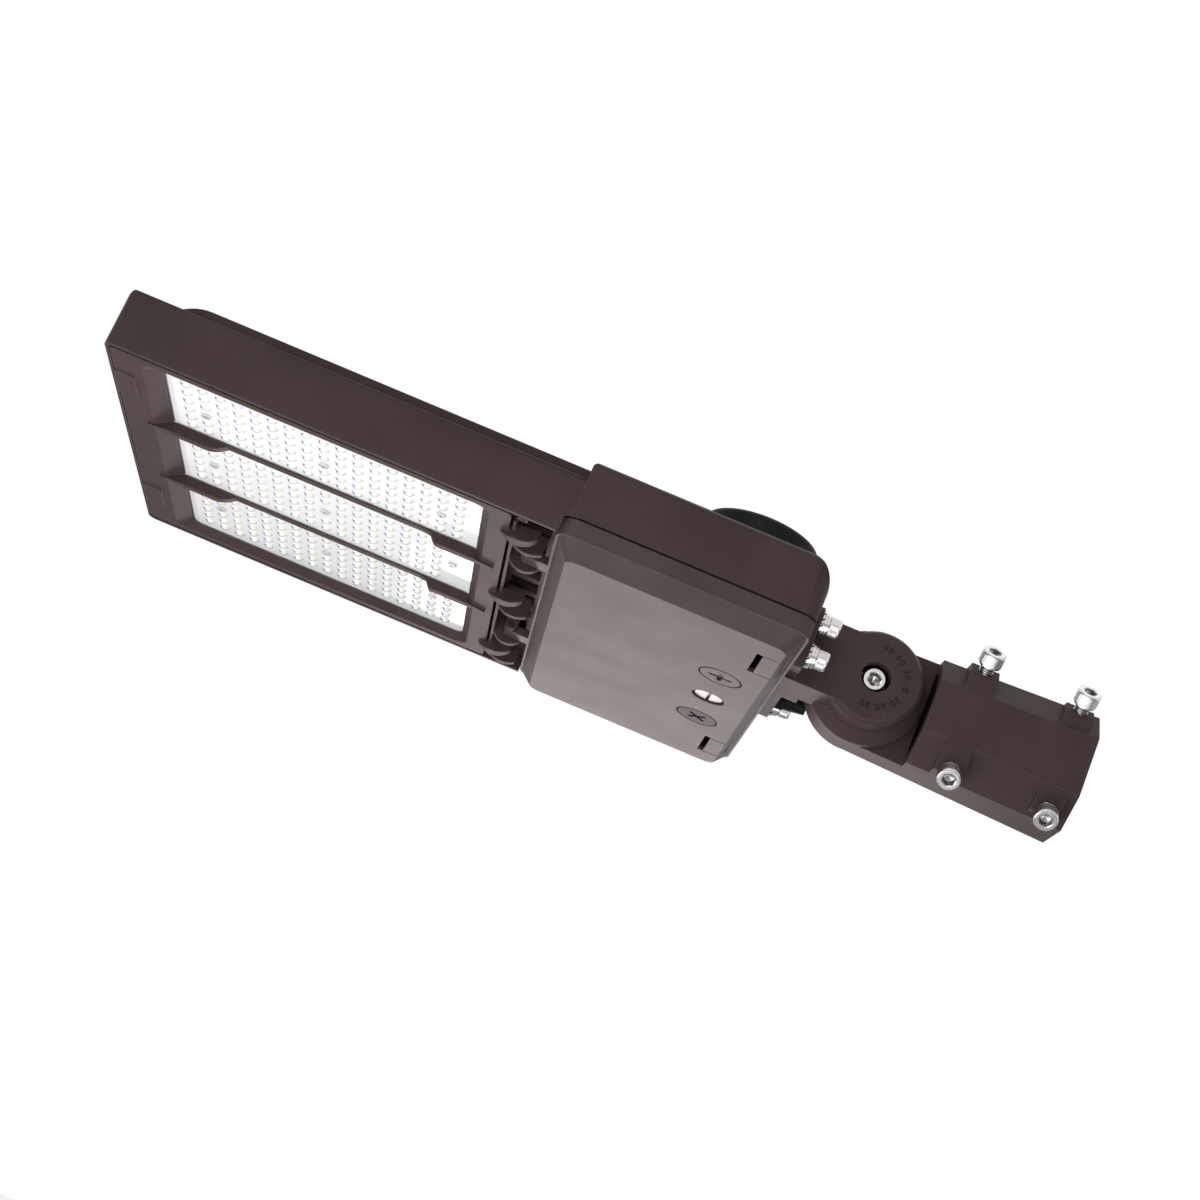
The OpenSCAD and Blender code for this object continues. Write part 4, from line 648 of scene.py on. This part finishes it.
# %% Station tree
def station_tree():
    """Stations in, realized screws out."""
    tree = bpy.data.node_groups.new("screws_on_stations", "GeometryNodeTree")
    for name, kind in (("Stations", "Geometry"), ("Screw", "Object"), ("Most Turn", "Float"),
                       ("Seed", "Int"), ("Finish", "Material")):
        tree.interface.new_socket(name, in_out="INPUT", socket_type="NodeSocket" + kind)
    tree.interface.new_socket("Screws", in_out="OUTPUT", socket_type="NodeSocketGeometry")

    def graft(kind, inputs=None, **settings):
        made = tree.nodes.new(kind)
        for name, value in settings.items():
            setattr(made, name, value)
        for name, value in (inputs or {}).items():
            if isinstance(value, bpy.types.NodeSocket):
                tree.links.new(value, made.inputs[name])
            else:
                made.inputs[name].default_value = value
        return made

    given = graft("NodeGroupInput").outputs
    aim = graft("GeometryNodeInputNamedAttribute", {"Name": "aim"}, data_type="FLOAT_VECTOR")
    stand = graft("FunctionNodeAlignRotationToVector", {"Vector": aim.outputs[0]}, axis="Z")
    chance = graft("FunctionNodeRandomValue", {3: given["Most Turn"], "Seed": given["Seed"]},
                   data_type="FLOAT")
    spin = graft("FunctionNodeAxisAngleToRotation",
                 {"Axis": (0.0, 0.0, 1.0), "Angle": chance.outputs[1]})
    turned = graft("FunctionNodeRotateRotation",
                   {"Rotation": stand.outputs[0], "Rotate By": spin.outputs[0]},
                   rotation_space="LOCAL")
    screw = graft("GeometryNodeObjectInfo", {"Object": given["Screw"]})
    placed = graft("GeometryNodeInstanceOnPoints",
                   {"Points": given["Stations"], "Instance": screw.outputs["Geometry"],
                    "Rotation": turned.outputs[0]})
    real = graft("GeometryNodeRealizeInstances", {"Geometry": placed.outputs[0]})
    finished = graft("GeometryNodeSetMaterial",
                     {"Geometry": real.outputs[0], "Material": given["Finish"]})
    graft("NodeGroupOutput", {"Screws": finished.outputs[0]})
    return tree


SCREW_TREE = station_tree()
print("station tree nodes:", len(SCREW_TREE.nodes))

# %% [markdown]
# ## From the tree to a piece
# The tree works on a carrier mesh of bare points, with each screw's aim as an attribute. The
# result could stay a modifier, but a piece that rides on a body is simpler as a plain mesh:
# the evaluated object is copied into a mesh of its own, and the carrier is thrown away.

# %% Stand the screws
def plain_mesh(name, host):
    """The evaluated object as a plain mesh of its own; the host is thrown away."""
    bpy.context.view_layer.update()
    seen = host.evaluated_get(bpy.context.evaluated_depsgraph_get())
    mesh = bpy.data.meshes.new_from_object(seen)
    made = put(name, mesh)
    bpy.data.objects.remove(host)
    return made


def stand_screws(name, stations, screw, seed, finish):
    """One piece of screws, from (place, aim) pairs."""
    points = bpy.data.meshes.new(name + "_points")
    points.from_pydata([place for place, aim in stations], [], [])
    aims = points.attributes.new("aim", "FLOAT_VECTOR", "POINT")
    for i, (place, aim) in enumerate(stations):
        aims.data[i].vector = aim
    host = put(name + "_stations", points)
    step = host.modifiers.new("screws", "NODES")
    step.node_group = SCREW_TREE
    values = {"Screw": screw, "Most Turn": math.pi / 3, "Seed": seed, "Finish": finish}
    for socket in SCREW_TREE.interface.items_tree:
        if socket.name in values:
            step[socket.identifier] = values[socket.name]
    piece = plain_mesh(name, host)
    bpy.data.objects.remove(screw)
    triangles = sum(len(face.vertices) - 2 for face in piece.data.polygons)
    print(name, "stations", len(stations), "triangles", triangles)
    return piece


# %% [markdown]
# ## Clamp screws, flange bolts and the knuckle bolt
# The seats and lengths follow the CAD's solids, so a screw stays where the one that it
# replaces is. The clamp screws stand on the fitter's two near corners in two rows, the flange
# bolts in the bracket's four lugs, and the knuckle bolt in its counterbore. A loop over boxes
# would need a rule for every aim, so each group gets its seat, its aim and its size by name.

# %% Place the screws
M10 = {"size": 9.9 * MM, "head": 15.9 * MM, "height": 9.95 * MM, "key": 8.0 * MM,
       "pitch": 1.5 * MM}
CLAMP_ROWS = (-16.3 * MM, -82.5 * MM)
CLAMP_SEAT = 55.0 * MM
CLAMP_LENGTH = 23.9 * MM
DIAGONAL = math.sqrt(0.5)
clamps = []
for x in CLAMP_ROWS:
    for side in (1, -1):
        aim = Vector((0.0, -DIAGONAL, side * DIAGONAL))
        clamps.append((Vector((x, 0.0, 0.0)) + aim * CLAMP_SEAT, aim))
clamp_piece = stand_screws("clamp_screw_set", clamps,
                           cap_screw("clamp_screw", CLAMP_LENGTH, **M10), 11, zinc)

FLANGE_SEAT = -190.4 * MM
LUG_Y = 64.4 * MM
LUG_Z = 11.5 * MM
bolt_low, bolt_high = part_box("bracket_bolts")
M8 = {"size": 7.9 * MM, "head": 12.9 * MM, "height": bolt_high[0] - FLANGE_SEAT - 0.05 * MM,
      "key": 6.0 * MM, "pitch": 1.25 * MM}
flange_bolts = [(Vector((FLANGE_SEAT, y, z)), Vector((1.0, 0.0, 0.0)))
                for y in (-LUG_Y, LUG_Y) for z in (-LUG_Z, LUG_Z)]
bolt_piece = stand_screws("flange_bolt_set", flange_bolts,
                          cap_screw("flange_bolt", FLANGE_SEAT - bolt_low[0] - 0.1 * MM, **M8),
                          5, zinc)

KNUCKLE_X = -148.0 * MM
HEAD_ROOM = 10.0 * MM
knuckle_low, knuckle_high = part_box("knuckle_bolt")
knuckle_seat = knuckle_low[1] + HEAD_ROOM
knuckle_length = knuckle_high[1] - knuckle_seat - 0.1 * MM
knuckle_station = (Vector((KNUCKLE_X, knuckle_seat, 0.0)), Vector((0.0, -1.0, 0.0)))
knuckle_piece = stand_screws("knuckle_screw", [knuckle_station],
                             cap_screw("knuckle_cap_screw", knuckle_length, **M10), 3, zinc)

for piece, body, node in ((clamp_piece, "fitter", "clamp_screws"),
                          (bolt_piece, "head", "bracket_bolts"),
                          (knuckle_piece, "fitter", "knuckle_bolt")):
    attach(piece, body)
    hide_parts(node)

# %% [markdown]
# ## Numbers of the tilt scale
# Seven short marks are engraved round the knuckle's face, one every 30 degrees. Beside each
# stands its number, cast with the bracket. Text could stay a curve, but a curve bakes badly,
# so each number is made a mesh, turned so that its top points at its mark, and all are
# joined into one thin relief in a darker tone of the powder coat: painted shade that stands
# in for the shadow in the cast strokes.

# %% Scale numbers
SCALE_TURN = math.radians(-3.0)
SCALE_STEP = 30
SCALE_RADIUS = 17.7 * MM
DISC_FACE = -43.3 * MM
# A darker copy of the powder coat for the numbers: painted shade in the cast strokes.
number_shade_bronze = powder_coat("number_shade_powder", (0.022, 0.015, 0.014), (0.028, 0.019, 0.018),
                            (0.062, 0.047, 0.043), gloss=0.5)


def scale_numbers():
    """The seven numbers as one mesh on the disc's face."""
    whole = bmesh.new()
    for step in range(-3, 4):
        turn = SCALE_TURN + math.radians(SCALE_STEP * step)
        text = bpy.data.curves.new("number", "FONT")
        text.body = str(abs(SCALE_STEP * step))
        text.size = 6.3 * MM
        text.space_character = 1.22
        text.align_x = "CENTER"
        text.extrude = 0.22 * MM
        text.bevel_depth = 0.06 * MM
        text.offset = 0.03 * MM
        text.resolution_u = 4
        flat = plain_mesh("number_mesh", put("number", text))
        up = Vector((math.cos(turn), 0.0, math.sin(turn)))
        out = Vector((0.0, -1.0, 0.0))
        right = up.cross(out)
        axes = Matrix((right, up, out)).transposed().to_4x4()
        place = Vector((KNUCKLE_X, DISC_FACE, 0.0)) + up * SCALE_RADIUS
        flat.data.transform(Matrix.Translation(place) @ axes)
        whole.from_mesh(flat.data)
        bpy.data.objects.remove(flat)
    mesh = bpy.data.meshes.new("scale_numbers")
    whole.to_mesh(mesh)
    whole.free()
    mesh.materials.clear()
    mesh.materials.append(number_shade_bronze)
    return put("scale_numbers", mesh)


numbers = scale_numbers()
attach(numbers, "head")
print("scale numbers: faces", len(numbers.data.polygons))

# %% [markdown]
# ## Painted shadow in the gaps
# Thin black pieces stand in for the shadow in the gaps: a painted shadow along the door's
# parting line, where a black seal is also real, in the gap round the lens frame, and as a dark
# ring round each selector plug. A swept curve would do for all, but its section would twist at
# the corners. Here the outline is drawn once at each offset of the profile, and quads join one
# outline to the next.

# %% Gap shadow bands
def circle_outline(middle, radius, sides=72):
    """Outline of a circle, as a rule from offset to points."""
    def drawn(offset):
        turns = [2.0 * math.pi * i / sides for i in range(sides)]
        return [(middle[0] + (radius + offset) * math.cos(t),
                 middle[1] + (radius + offset) * math.sin(t)) for t in turns]
    return drawn


def rounded_outline(low, high, radius, steps=10):
    """Outline of a rounded rectangle, as a rule from offset to points."""
    def drawn(offset):
        points = []
        for i, (x, y) in enumerate(((high[0] - radius, high[1] - radius),
                                    (low[0] + radius, high[1] - radius),
                                    (low[0] + radius, low[1] + radius),
                                    (high[0] - radius, low[1] + radius))):
            for k in range(steps + 1):
                turn = math.pi / 2 * (i + k / steps)
                points.append((x + (radius + offset) * math.cos(turn),
                               y + (radius + offset) * math.sin(turn)))
        return points
    return drawn


def open_outline(inner, outer, steps=10):
    """U-shaped outline between two (tip, end, half, radius) rules; offset 0 is the inner one."""
    def drawn(offset):
        tip, end, half, radius = (a + offset * (b - a) for a, b in zip(inner, outer))
        points = [(end, -half)]
        for side, start in ((-1.0, -math.pi / 2), (1.0, -math.pi)):
            for k in range(steps + 1):
                turn = start - math.pi / 2 * k / steps
                points.append((tip + radius + radius * math.cos(turn),
                               side * (half - radius) + radius * math.sin(turn)))
        return points + [(end, half)]
    return drawn


def seal_band(mesh, outline, profile, height, closed=True):
    """A band: `profile` is a loop of (offset, rise) round its section."""
    bands = []
    for offset, rise in profile:
        bands.append([mesh.verts.new((x, y, height + rise)) for x, y in outline(offset)])
    for near, far in zip(bands, bands[1:] + bands[:1]):
        for i in range(len(near) - (not closed)):
            j = (i + 1) % len(near)
            mesh.faces.new((near[i], near[j], far[j], far[i]))
    if not closed:
        mesh.faces.new([band[0] for band in bands])
        mesh.faces.new([band[-1] for band in reversed(bands)])


def solid_object(name, mesh):
    """Object from a closed bmesh, which is freed."""
    bmesh.ops.recalc_face_normals(mesh, faces=mesh.faces)
    made = put(name, bpy.data.meshes.new(name))
    mesh.to_mesh(made.data)
    mesh.free()
    return made


def new_piece(name, mesh, carrier, material):
    """Piece of the scene alone, riding on a body."""
    made = solid_object(name, mesh)
    made.data.materials.append(material)
    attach(made, carrier)
    print(name, "on", carrier, "faces", len(made.data.polygons))


def seal_piece(name, carrier, bands, closed=True):
    """One black piece of painted gap shadow, on the door also a real seal, from (outline, profile,
    height) bands.
    """
    mesh = bmesh.new()
    for outline, profile, height in bands:
        seal_band(mesh, outline, profile, height, closed)
    new_piece(name, mesh, carrier, rubber_and_gap_shadow_black)


print("seal helpers:", [f.__name__ for f in (circle_outline, rounded_outline, open_outline)])

# %% [markdown]
# ## Three gap shadows
# The dark rings round the plugs are circles at the plugs' own places, painted shadow. The door's
# black band follows the gasket's outline and stands a hair proud, so that it draws the parting
# line: a real seal and a painted shadow. The strip beside the lens frame is U-shaped and open
# towards the pole, as the gap is, and is painted shadow only. All sizes could be typed in, but
# here they are steps in or out from the boxes of the solids around them.

# %% Gap shadows
PLUG_RADIUS = 14.0 * MM
SHADOW_RING_PROFILE = tuple((a * MM, b * MM) for a, b in ((-0.5, 0.35), (-0.45, 0.0), (-0.2, -0.1), (0.5, -0.1),
                                          (0.8, 0.0), (0.85, 0.35)))
# Dark rings round the plugs: painted shadow in their gaps.
shadow_rings = []
for node in ("power_plug", "colour_plug"):
    low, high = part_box(node)
    middle = ((low[0] + high[0]) / 2, (low[1] + high[1]) / 2)
    shadow_rings.append((circle_outline(middle, PLUG_RADIUS), SHADOW_RING_PROFILE, low[2]))
seal_piece("plug_lips", "door", shadow_rings)

DOOR_CORNER = 10.0 * MM
GASKET_INSET = 0.4 * MM
FLUSH, PROUD = 0.02 * MM, 0.08 * MM
gasket_low, gasket_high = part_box("door_gasket")
edge_low = [gasket_low[i] - GASKET_INSET for i in range(2)]
edge_high = [gasket_high[i] + GASKET_INSET for i in range(2)]
deep = gasket_high[2] - gasket_low[2]
BEAD = ((-0.6 * MM, 0.0), (-0.6 * MM, deep), (FLUSH, deep), (FLUSH, deep + 0.3 * MM),
        (PROUD, deep + 0.25 * MM), (PROUD, -0.25 * MM), (FLUSH, -0.3 * MM), (FLUSH, 0.0))
# Black band on the door's parting line: a real seal and a painted shadow.
seal_piece("door_seal_bead", "door",
           [(rounded_outline(edge_low, edge_high, DOOR_CORNER), BEAD, gasket_low[2])])

frame_low, frame_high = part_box("lens_frame")
walls_low, walls_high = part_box("side_walls")
lens_seal_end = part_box("frame_gasket")[1][0]
STRIP = ((0.0, 0.2 * MM), (0.0, 2.2 * MM), (1.0, 2.2 * MM), (1.0, 0.2 * MM))
beside_frame = (frame_low[0] - 0.1 * MM, lens_seal_end, frame_high[1] + 0.1 * MM, 3.6 * MM)
beside_wall = (walls_low[0] + 2.1 * MM, lens_seal_end, walls_high[1] - 3.1 * MM, 3.9 * MM)
# Black strip beside the lens frame: painted shadow in the gap.
seal_piece("frame_edge_seal", "head",
           [(open_outline(beside_frame, beside_wall), STRIP, walls_low[2])], closed=False)

# %% [markdown]
# ## Rounded corners of the castings
# Two corners of the castings are rounded: the top of the tip and the front top of the driver
# compartment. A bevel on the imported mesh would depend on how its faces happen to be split. A
# Boolean cut with a fillet prism only depends on the corner's place, so the body is copied,
# cut, and stands in for its CAD node.

# %% Rounded corners
def prism(mesh, shape, low, high):
    """A solid from an outline in the X-Z plane between two Y values."""
    near, far = ([mesh.verts.new((x, y, z)) for x, z in shape] for y in (low, high))
    mesh.faces.new(near)
    mesh.faces.new(list(reversed(far)))
    for i in range(len(shape)):
        j = (i + 1) % len(shape)
        mesh.faces.new((near[i], far[i], far[j], near[j]))


def eased(name, node, corner, radius, steps=12):
    """Stand-in for a CAD node with its upper tip-side corner rounded across the whole width."""
    low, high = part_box(node)
    x, z = corner
    spare = 1.0 * MM
    shape = [(x - spare, z + spare), (x - spare, z - radius)]
    for k in range(steps + 1):
        turn = math.pi - math.pi / 2 * k / steps
        shape.append((x + radius + radius * math.cos(turn), z - radius + radius * math.sin(turn)))
    shape.append((x + radius, z + spare))
    mesh = bmesh.new()
    prism(mesh, shape, low[1] - spare, high[1] + spare)
    cutter = solid_object(name + "_cutter", mesh)
    host = put(name + "_uncut", frame["nodes"][node].data.copy())
    cut = host.modifiers.new("corner", "BOOLEAN")
    cut.operation = "DIFFERENCE"
    cut.solver = "EXACT"
    cut.object = cutter
    body = plain_mesh(name, host)
    bpy.data.objects.remove(cutter)
    body.data.shade_smooth()
    body.data.set_sharp_from_angle(angle=SHARP)
    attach(body, "head")
    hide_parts(node)
    print(name, "faces", len(body.data.polygons))


SHARP = math.radians(28.0)
ROOF_HIGH = 50.4 * MM
box_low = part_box("driver_box")[0]
eased("rounded_walls", "side_walls", (walls_low[0], walls_high[2]), 6.0 * MM)
eased("rounded_box", "driver_box", (box_low[0], walls_low[2] + ROOF_HIGH), 5.0 * MM)

# %% [markdown]
# ## Noses of the lens frame's bars
# The two bars between the lens windows grow wide at both ends and finish in a rounded nose.
# The solids stop there with a hollow cut. Each nose could be a Boolean union with the frame,
# but a thin plate laid on it needs no cut: its side view is a parabola, and the prism helper
# gives it the bar's thickness.

# %% Bar noses
NOSE_STEPS = 12
BAR_Y = 50.0 * MM
HALF_BAR = 3.55 * MM
BAR_RISE = 5.95 * MM
bar_low = walls_low[2] - 1.85 * MM
tip_nose = (frame_low[0] + 48.7 * MM, 7.4 * MM, 13.6 * MM)
door_nose = (lens_seal_end - 42.7 * MM, 0.05 * MM, -6.5 * MM)
noses = bmesh.new()
for start, flat, run in (tip_nose, door_nose):
    begin = start + math.copysign(flat, run)
    side = [(start, bar_low)]
    for k in range(NOSE_STEPS + 1):
        share = k / NOSE_STEPS
        side.append((begin + run * share, bar_low + BAR_RISE * share ** 2))
    side.append((start, bar_low + BAR_RISE + 0.6 * MM))
    for middle in (-BAR_Y, BAR_Y):
        prism(noses, side, middle - HALF_BAR, middle + HALF_BAR)
new_piece("bar_noses", noses, "head", bronze)

# %% [markdown]
# ## Floor and light
# The light hangs free before white. The world is soft grey for the paint but white where
# the camera, a gloss or a clear plate looks at it. The floor lies far below, pale, and keeps
# the shadow: seen by the camera it is mostly white, and from below it lets the view through.

# %% World
def studio_world():
    """Soft grey for the paint, white for the camera, a gloss or a clear plate."""
    world = bpy.data.worlds.new("studio")
    world.use_nodes = True
    tree = world.node_tree
    tree.nodes.clear()
    path = tree.nodes.new("ShaderNodeLightPath")
    direct = path.outputs["Is Camera Ray"]
    for ray in ("Is Glossy Ray", "Is Transmission Ray"):
        either = tree.nodes.new("ShaderNodeMath")
        either.operation = "MAXIMUM"
        tree.links.new(direct, either.inputs[0])
        tree.links.new(path.outputs[ray], either.inputs[1])
        direct = either.outputs[0]
    tone = tree.nodes.new("ShaderNodeMix")
    tone.data_type = "RGBA"
    tree.links.new(direct, tone.inputs[0])
    tone.inputs[6].default_value = (0.52, 0.52, 0.53, 1.0)
    tone.inputs[7].default_value = (1.0, 1.0, 1.0, 1.0)
    back = tree.nodes.new("ShaderNodeBackground")
    tree.links.new(tone.outputs[2], back.inputs["Color"])
    last = tree.nodes.new("ShaderNodeOutputWorld")
    tree.links.new(back.outputs[0], last.inputs["Surface"])
    bpy.context.scene.world = world


studio_world()
print("world:", bpy.context.scene.world.name)


# %% Floor
def pale_floor(height, half):
    """A square of pale paper that the camera sees through from below."""
    mesh = bpy.data.meshes.new("studio_floor")
    mesh.from_pydata([(-half, -half, height), (half, -half, height), (half, half, height),
                      (-half, half, height)], [], [(0, 1, 2, 3)])
    floor = put("studio_floor", mesh)
    paper = Finish("studio_paper")
    grain = paper.noise(0.02, 3.0)
    dull = paper.node("ShaderNodeBsdfDiffuse", None,
                      {"Color": paper.blend(grain, (0.60, 0.60, 0.60), (0.64, 0.64, 0.64))})
    white = paper.node("ShaderNodeEmission", None, {"Color": (1.0, 1.0, 1.0), "Strength": 1.0})
    clear = paper.node("ShaderNodeBsdfTransparent")
    path = paper.node("ShaderNodeLightPath", out="Is Camera Ray")
    below = paper.node("ShaderNodeNewGeometry", out="Backfacing")
    lit = paper.node("ShaderNodeMixShader", None, {0: path * 0.85, 1: dull, 2: white})
    paper.end(paper.node("ShaderNodeMixShader", None, {0: below, 1: lit, 2: clear}))
    mesh.materials.append(paper.material)


FLOOR_Z = -0.55
FLOOR_HALF = 3.0
pale_floor(FLOOR_Z, FLOOR_HALF)
print("floor at", FLOOR_Z, "m")

# %% [markdown]
# ## Lamps
# The photograph has soft light from all round: a large lamp in front, one above, one close
# under the lens and a low warm one behind. Sun lamps would draw hard shadows, so all four
# are area lamps, which the camera can't see.

# %% Soft panels
def soft_panel(name, place, target, wide, high, power, tint=(1.0, 1.0, 1.0)):
    """A rectangular lamp at `place` that looks at `target`; the camera doesn't see it."""
    data = bpy.data.lights.new(name, "AREA")
    data.shape = "RECTANGLE"
    data.size = wide
    data.size_y = high
    data.energy = power
    data.color = tint
    lamp = put(name, data)
    ahead = Vector(target) - Vector(place)
    lamp.matrix_world = (Matrix.Translation(Vector(place))
                         @ ahead.to_track_quat("-Z", "Y").to_matrix().to_4x4())
    lamp.visible_camera = False


HEAD_MIDDLE = (-0.33, 0.0, 0.0)
soft_panel("key_panel", (-1.0, -1.9, 0.45), HEAD_MIDDLE, 1.2, 1.2, 9.5)
soft_panel("top_panel", (-0.2, 0.6, 1.8), HEAD_MIDDLE, 1.4, 1.4, 2.6)
soft_panel("rise_panel", (-0.5, -0.12, -0.53), (-0.45, 0.0, 0.0), 1.4, 0.8, 8.5)
soft_panel("low_panel", (-0.22, 1.45, -0.36), (-0.28, 0.0, -0.04), 0.75, 0.30, 4.2,
           (1.0, 0.89, 0.89))
bpy.context.scene.view_settings.view_transform = "Standard"

# %% [markdown] ## Sizes and the end The dressed light keeps to the CAD's box; only the door's
# black band, a seal and a painted parting-line shadow, stands 0.08 mm out of it.
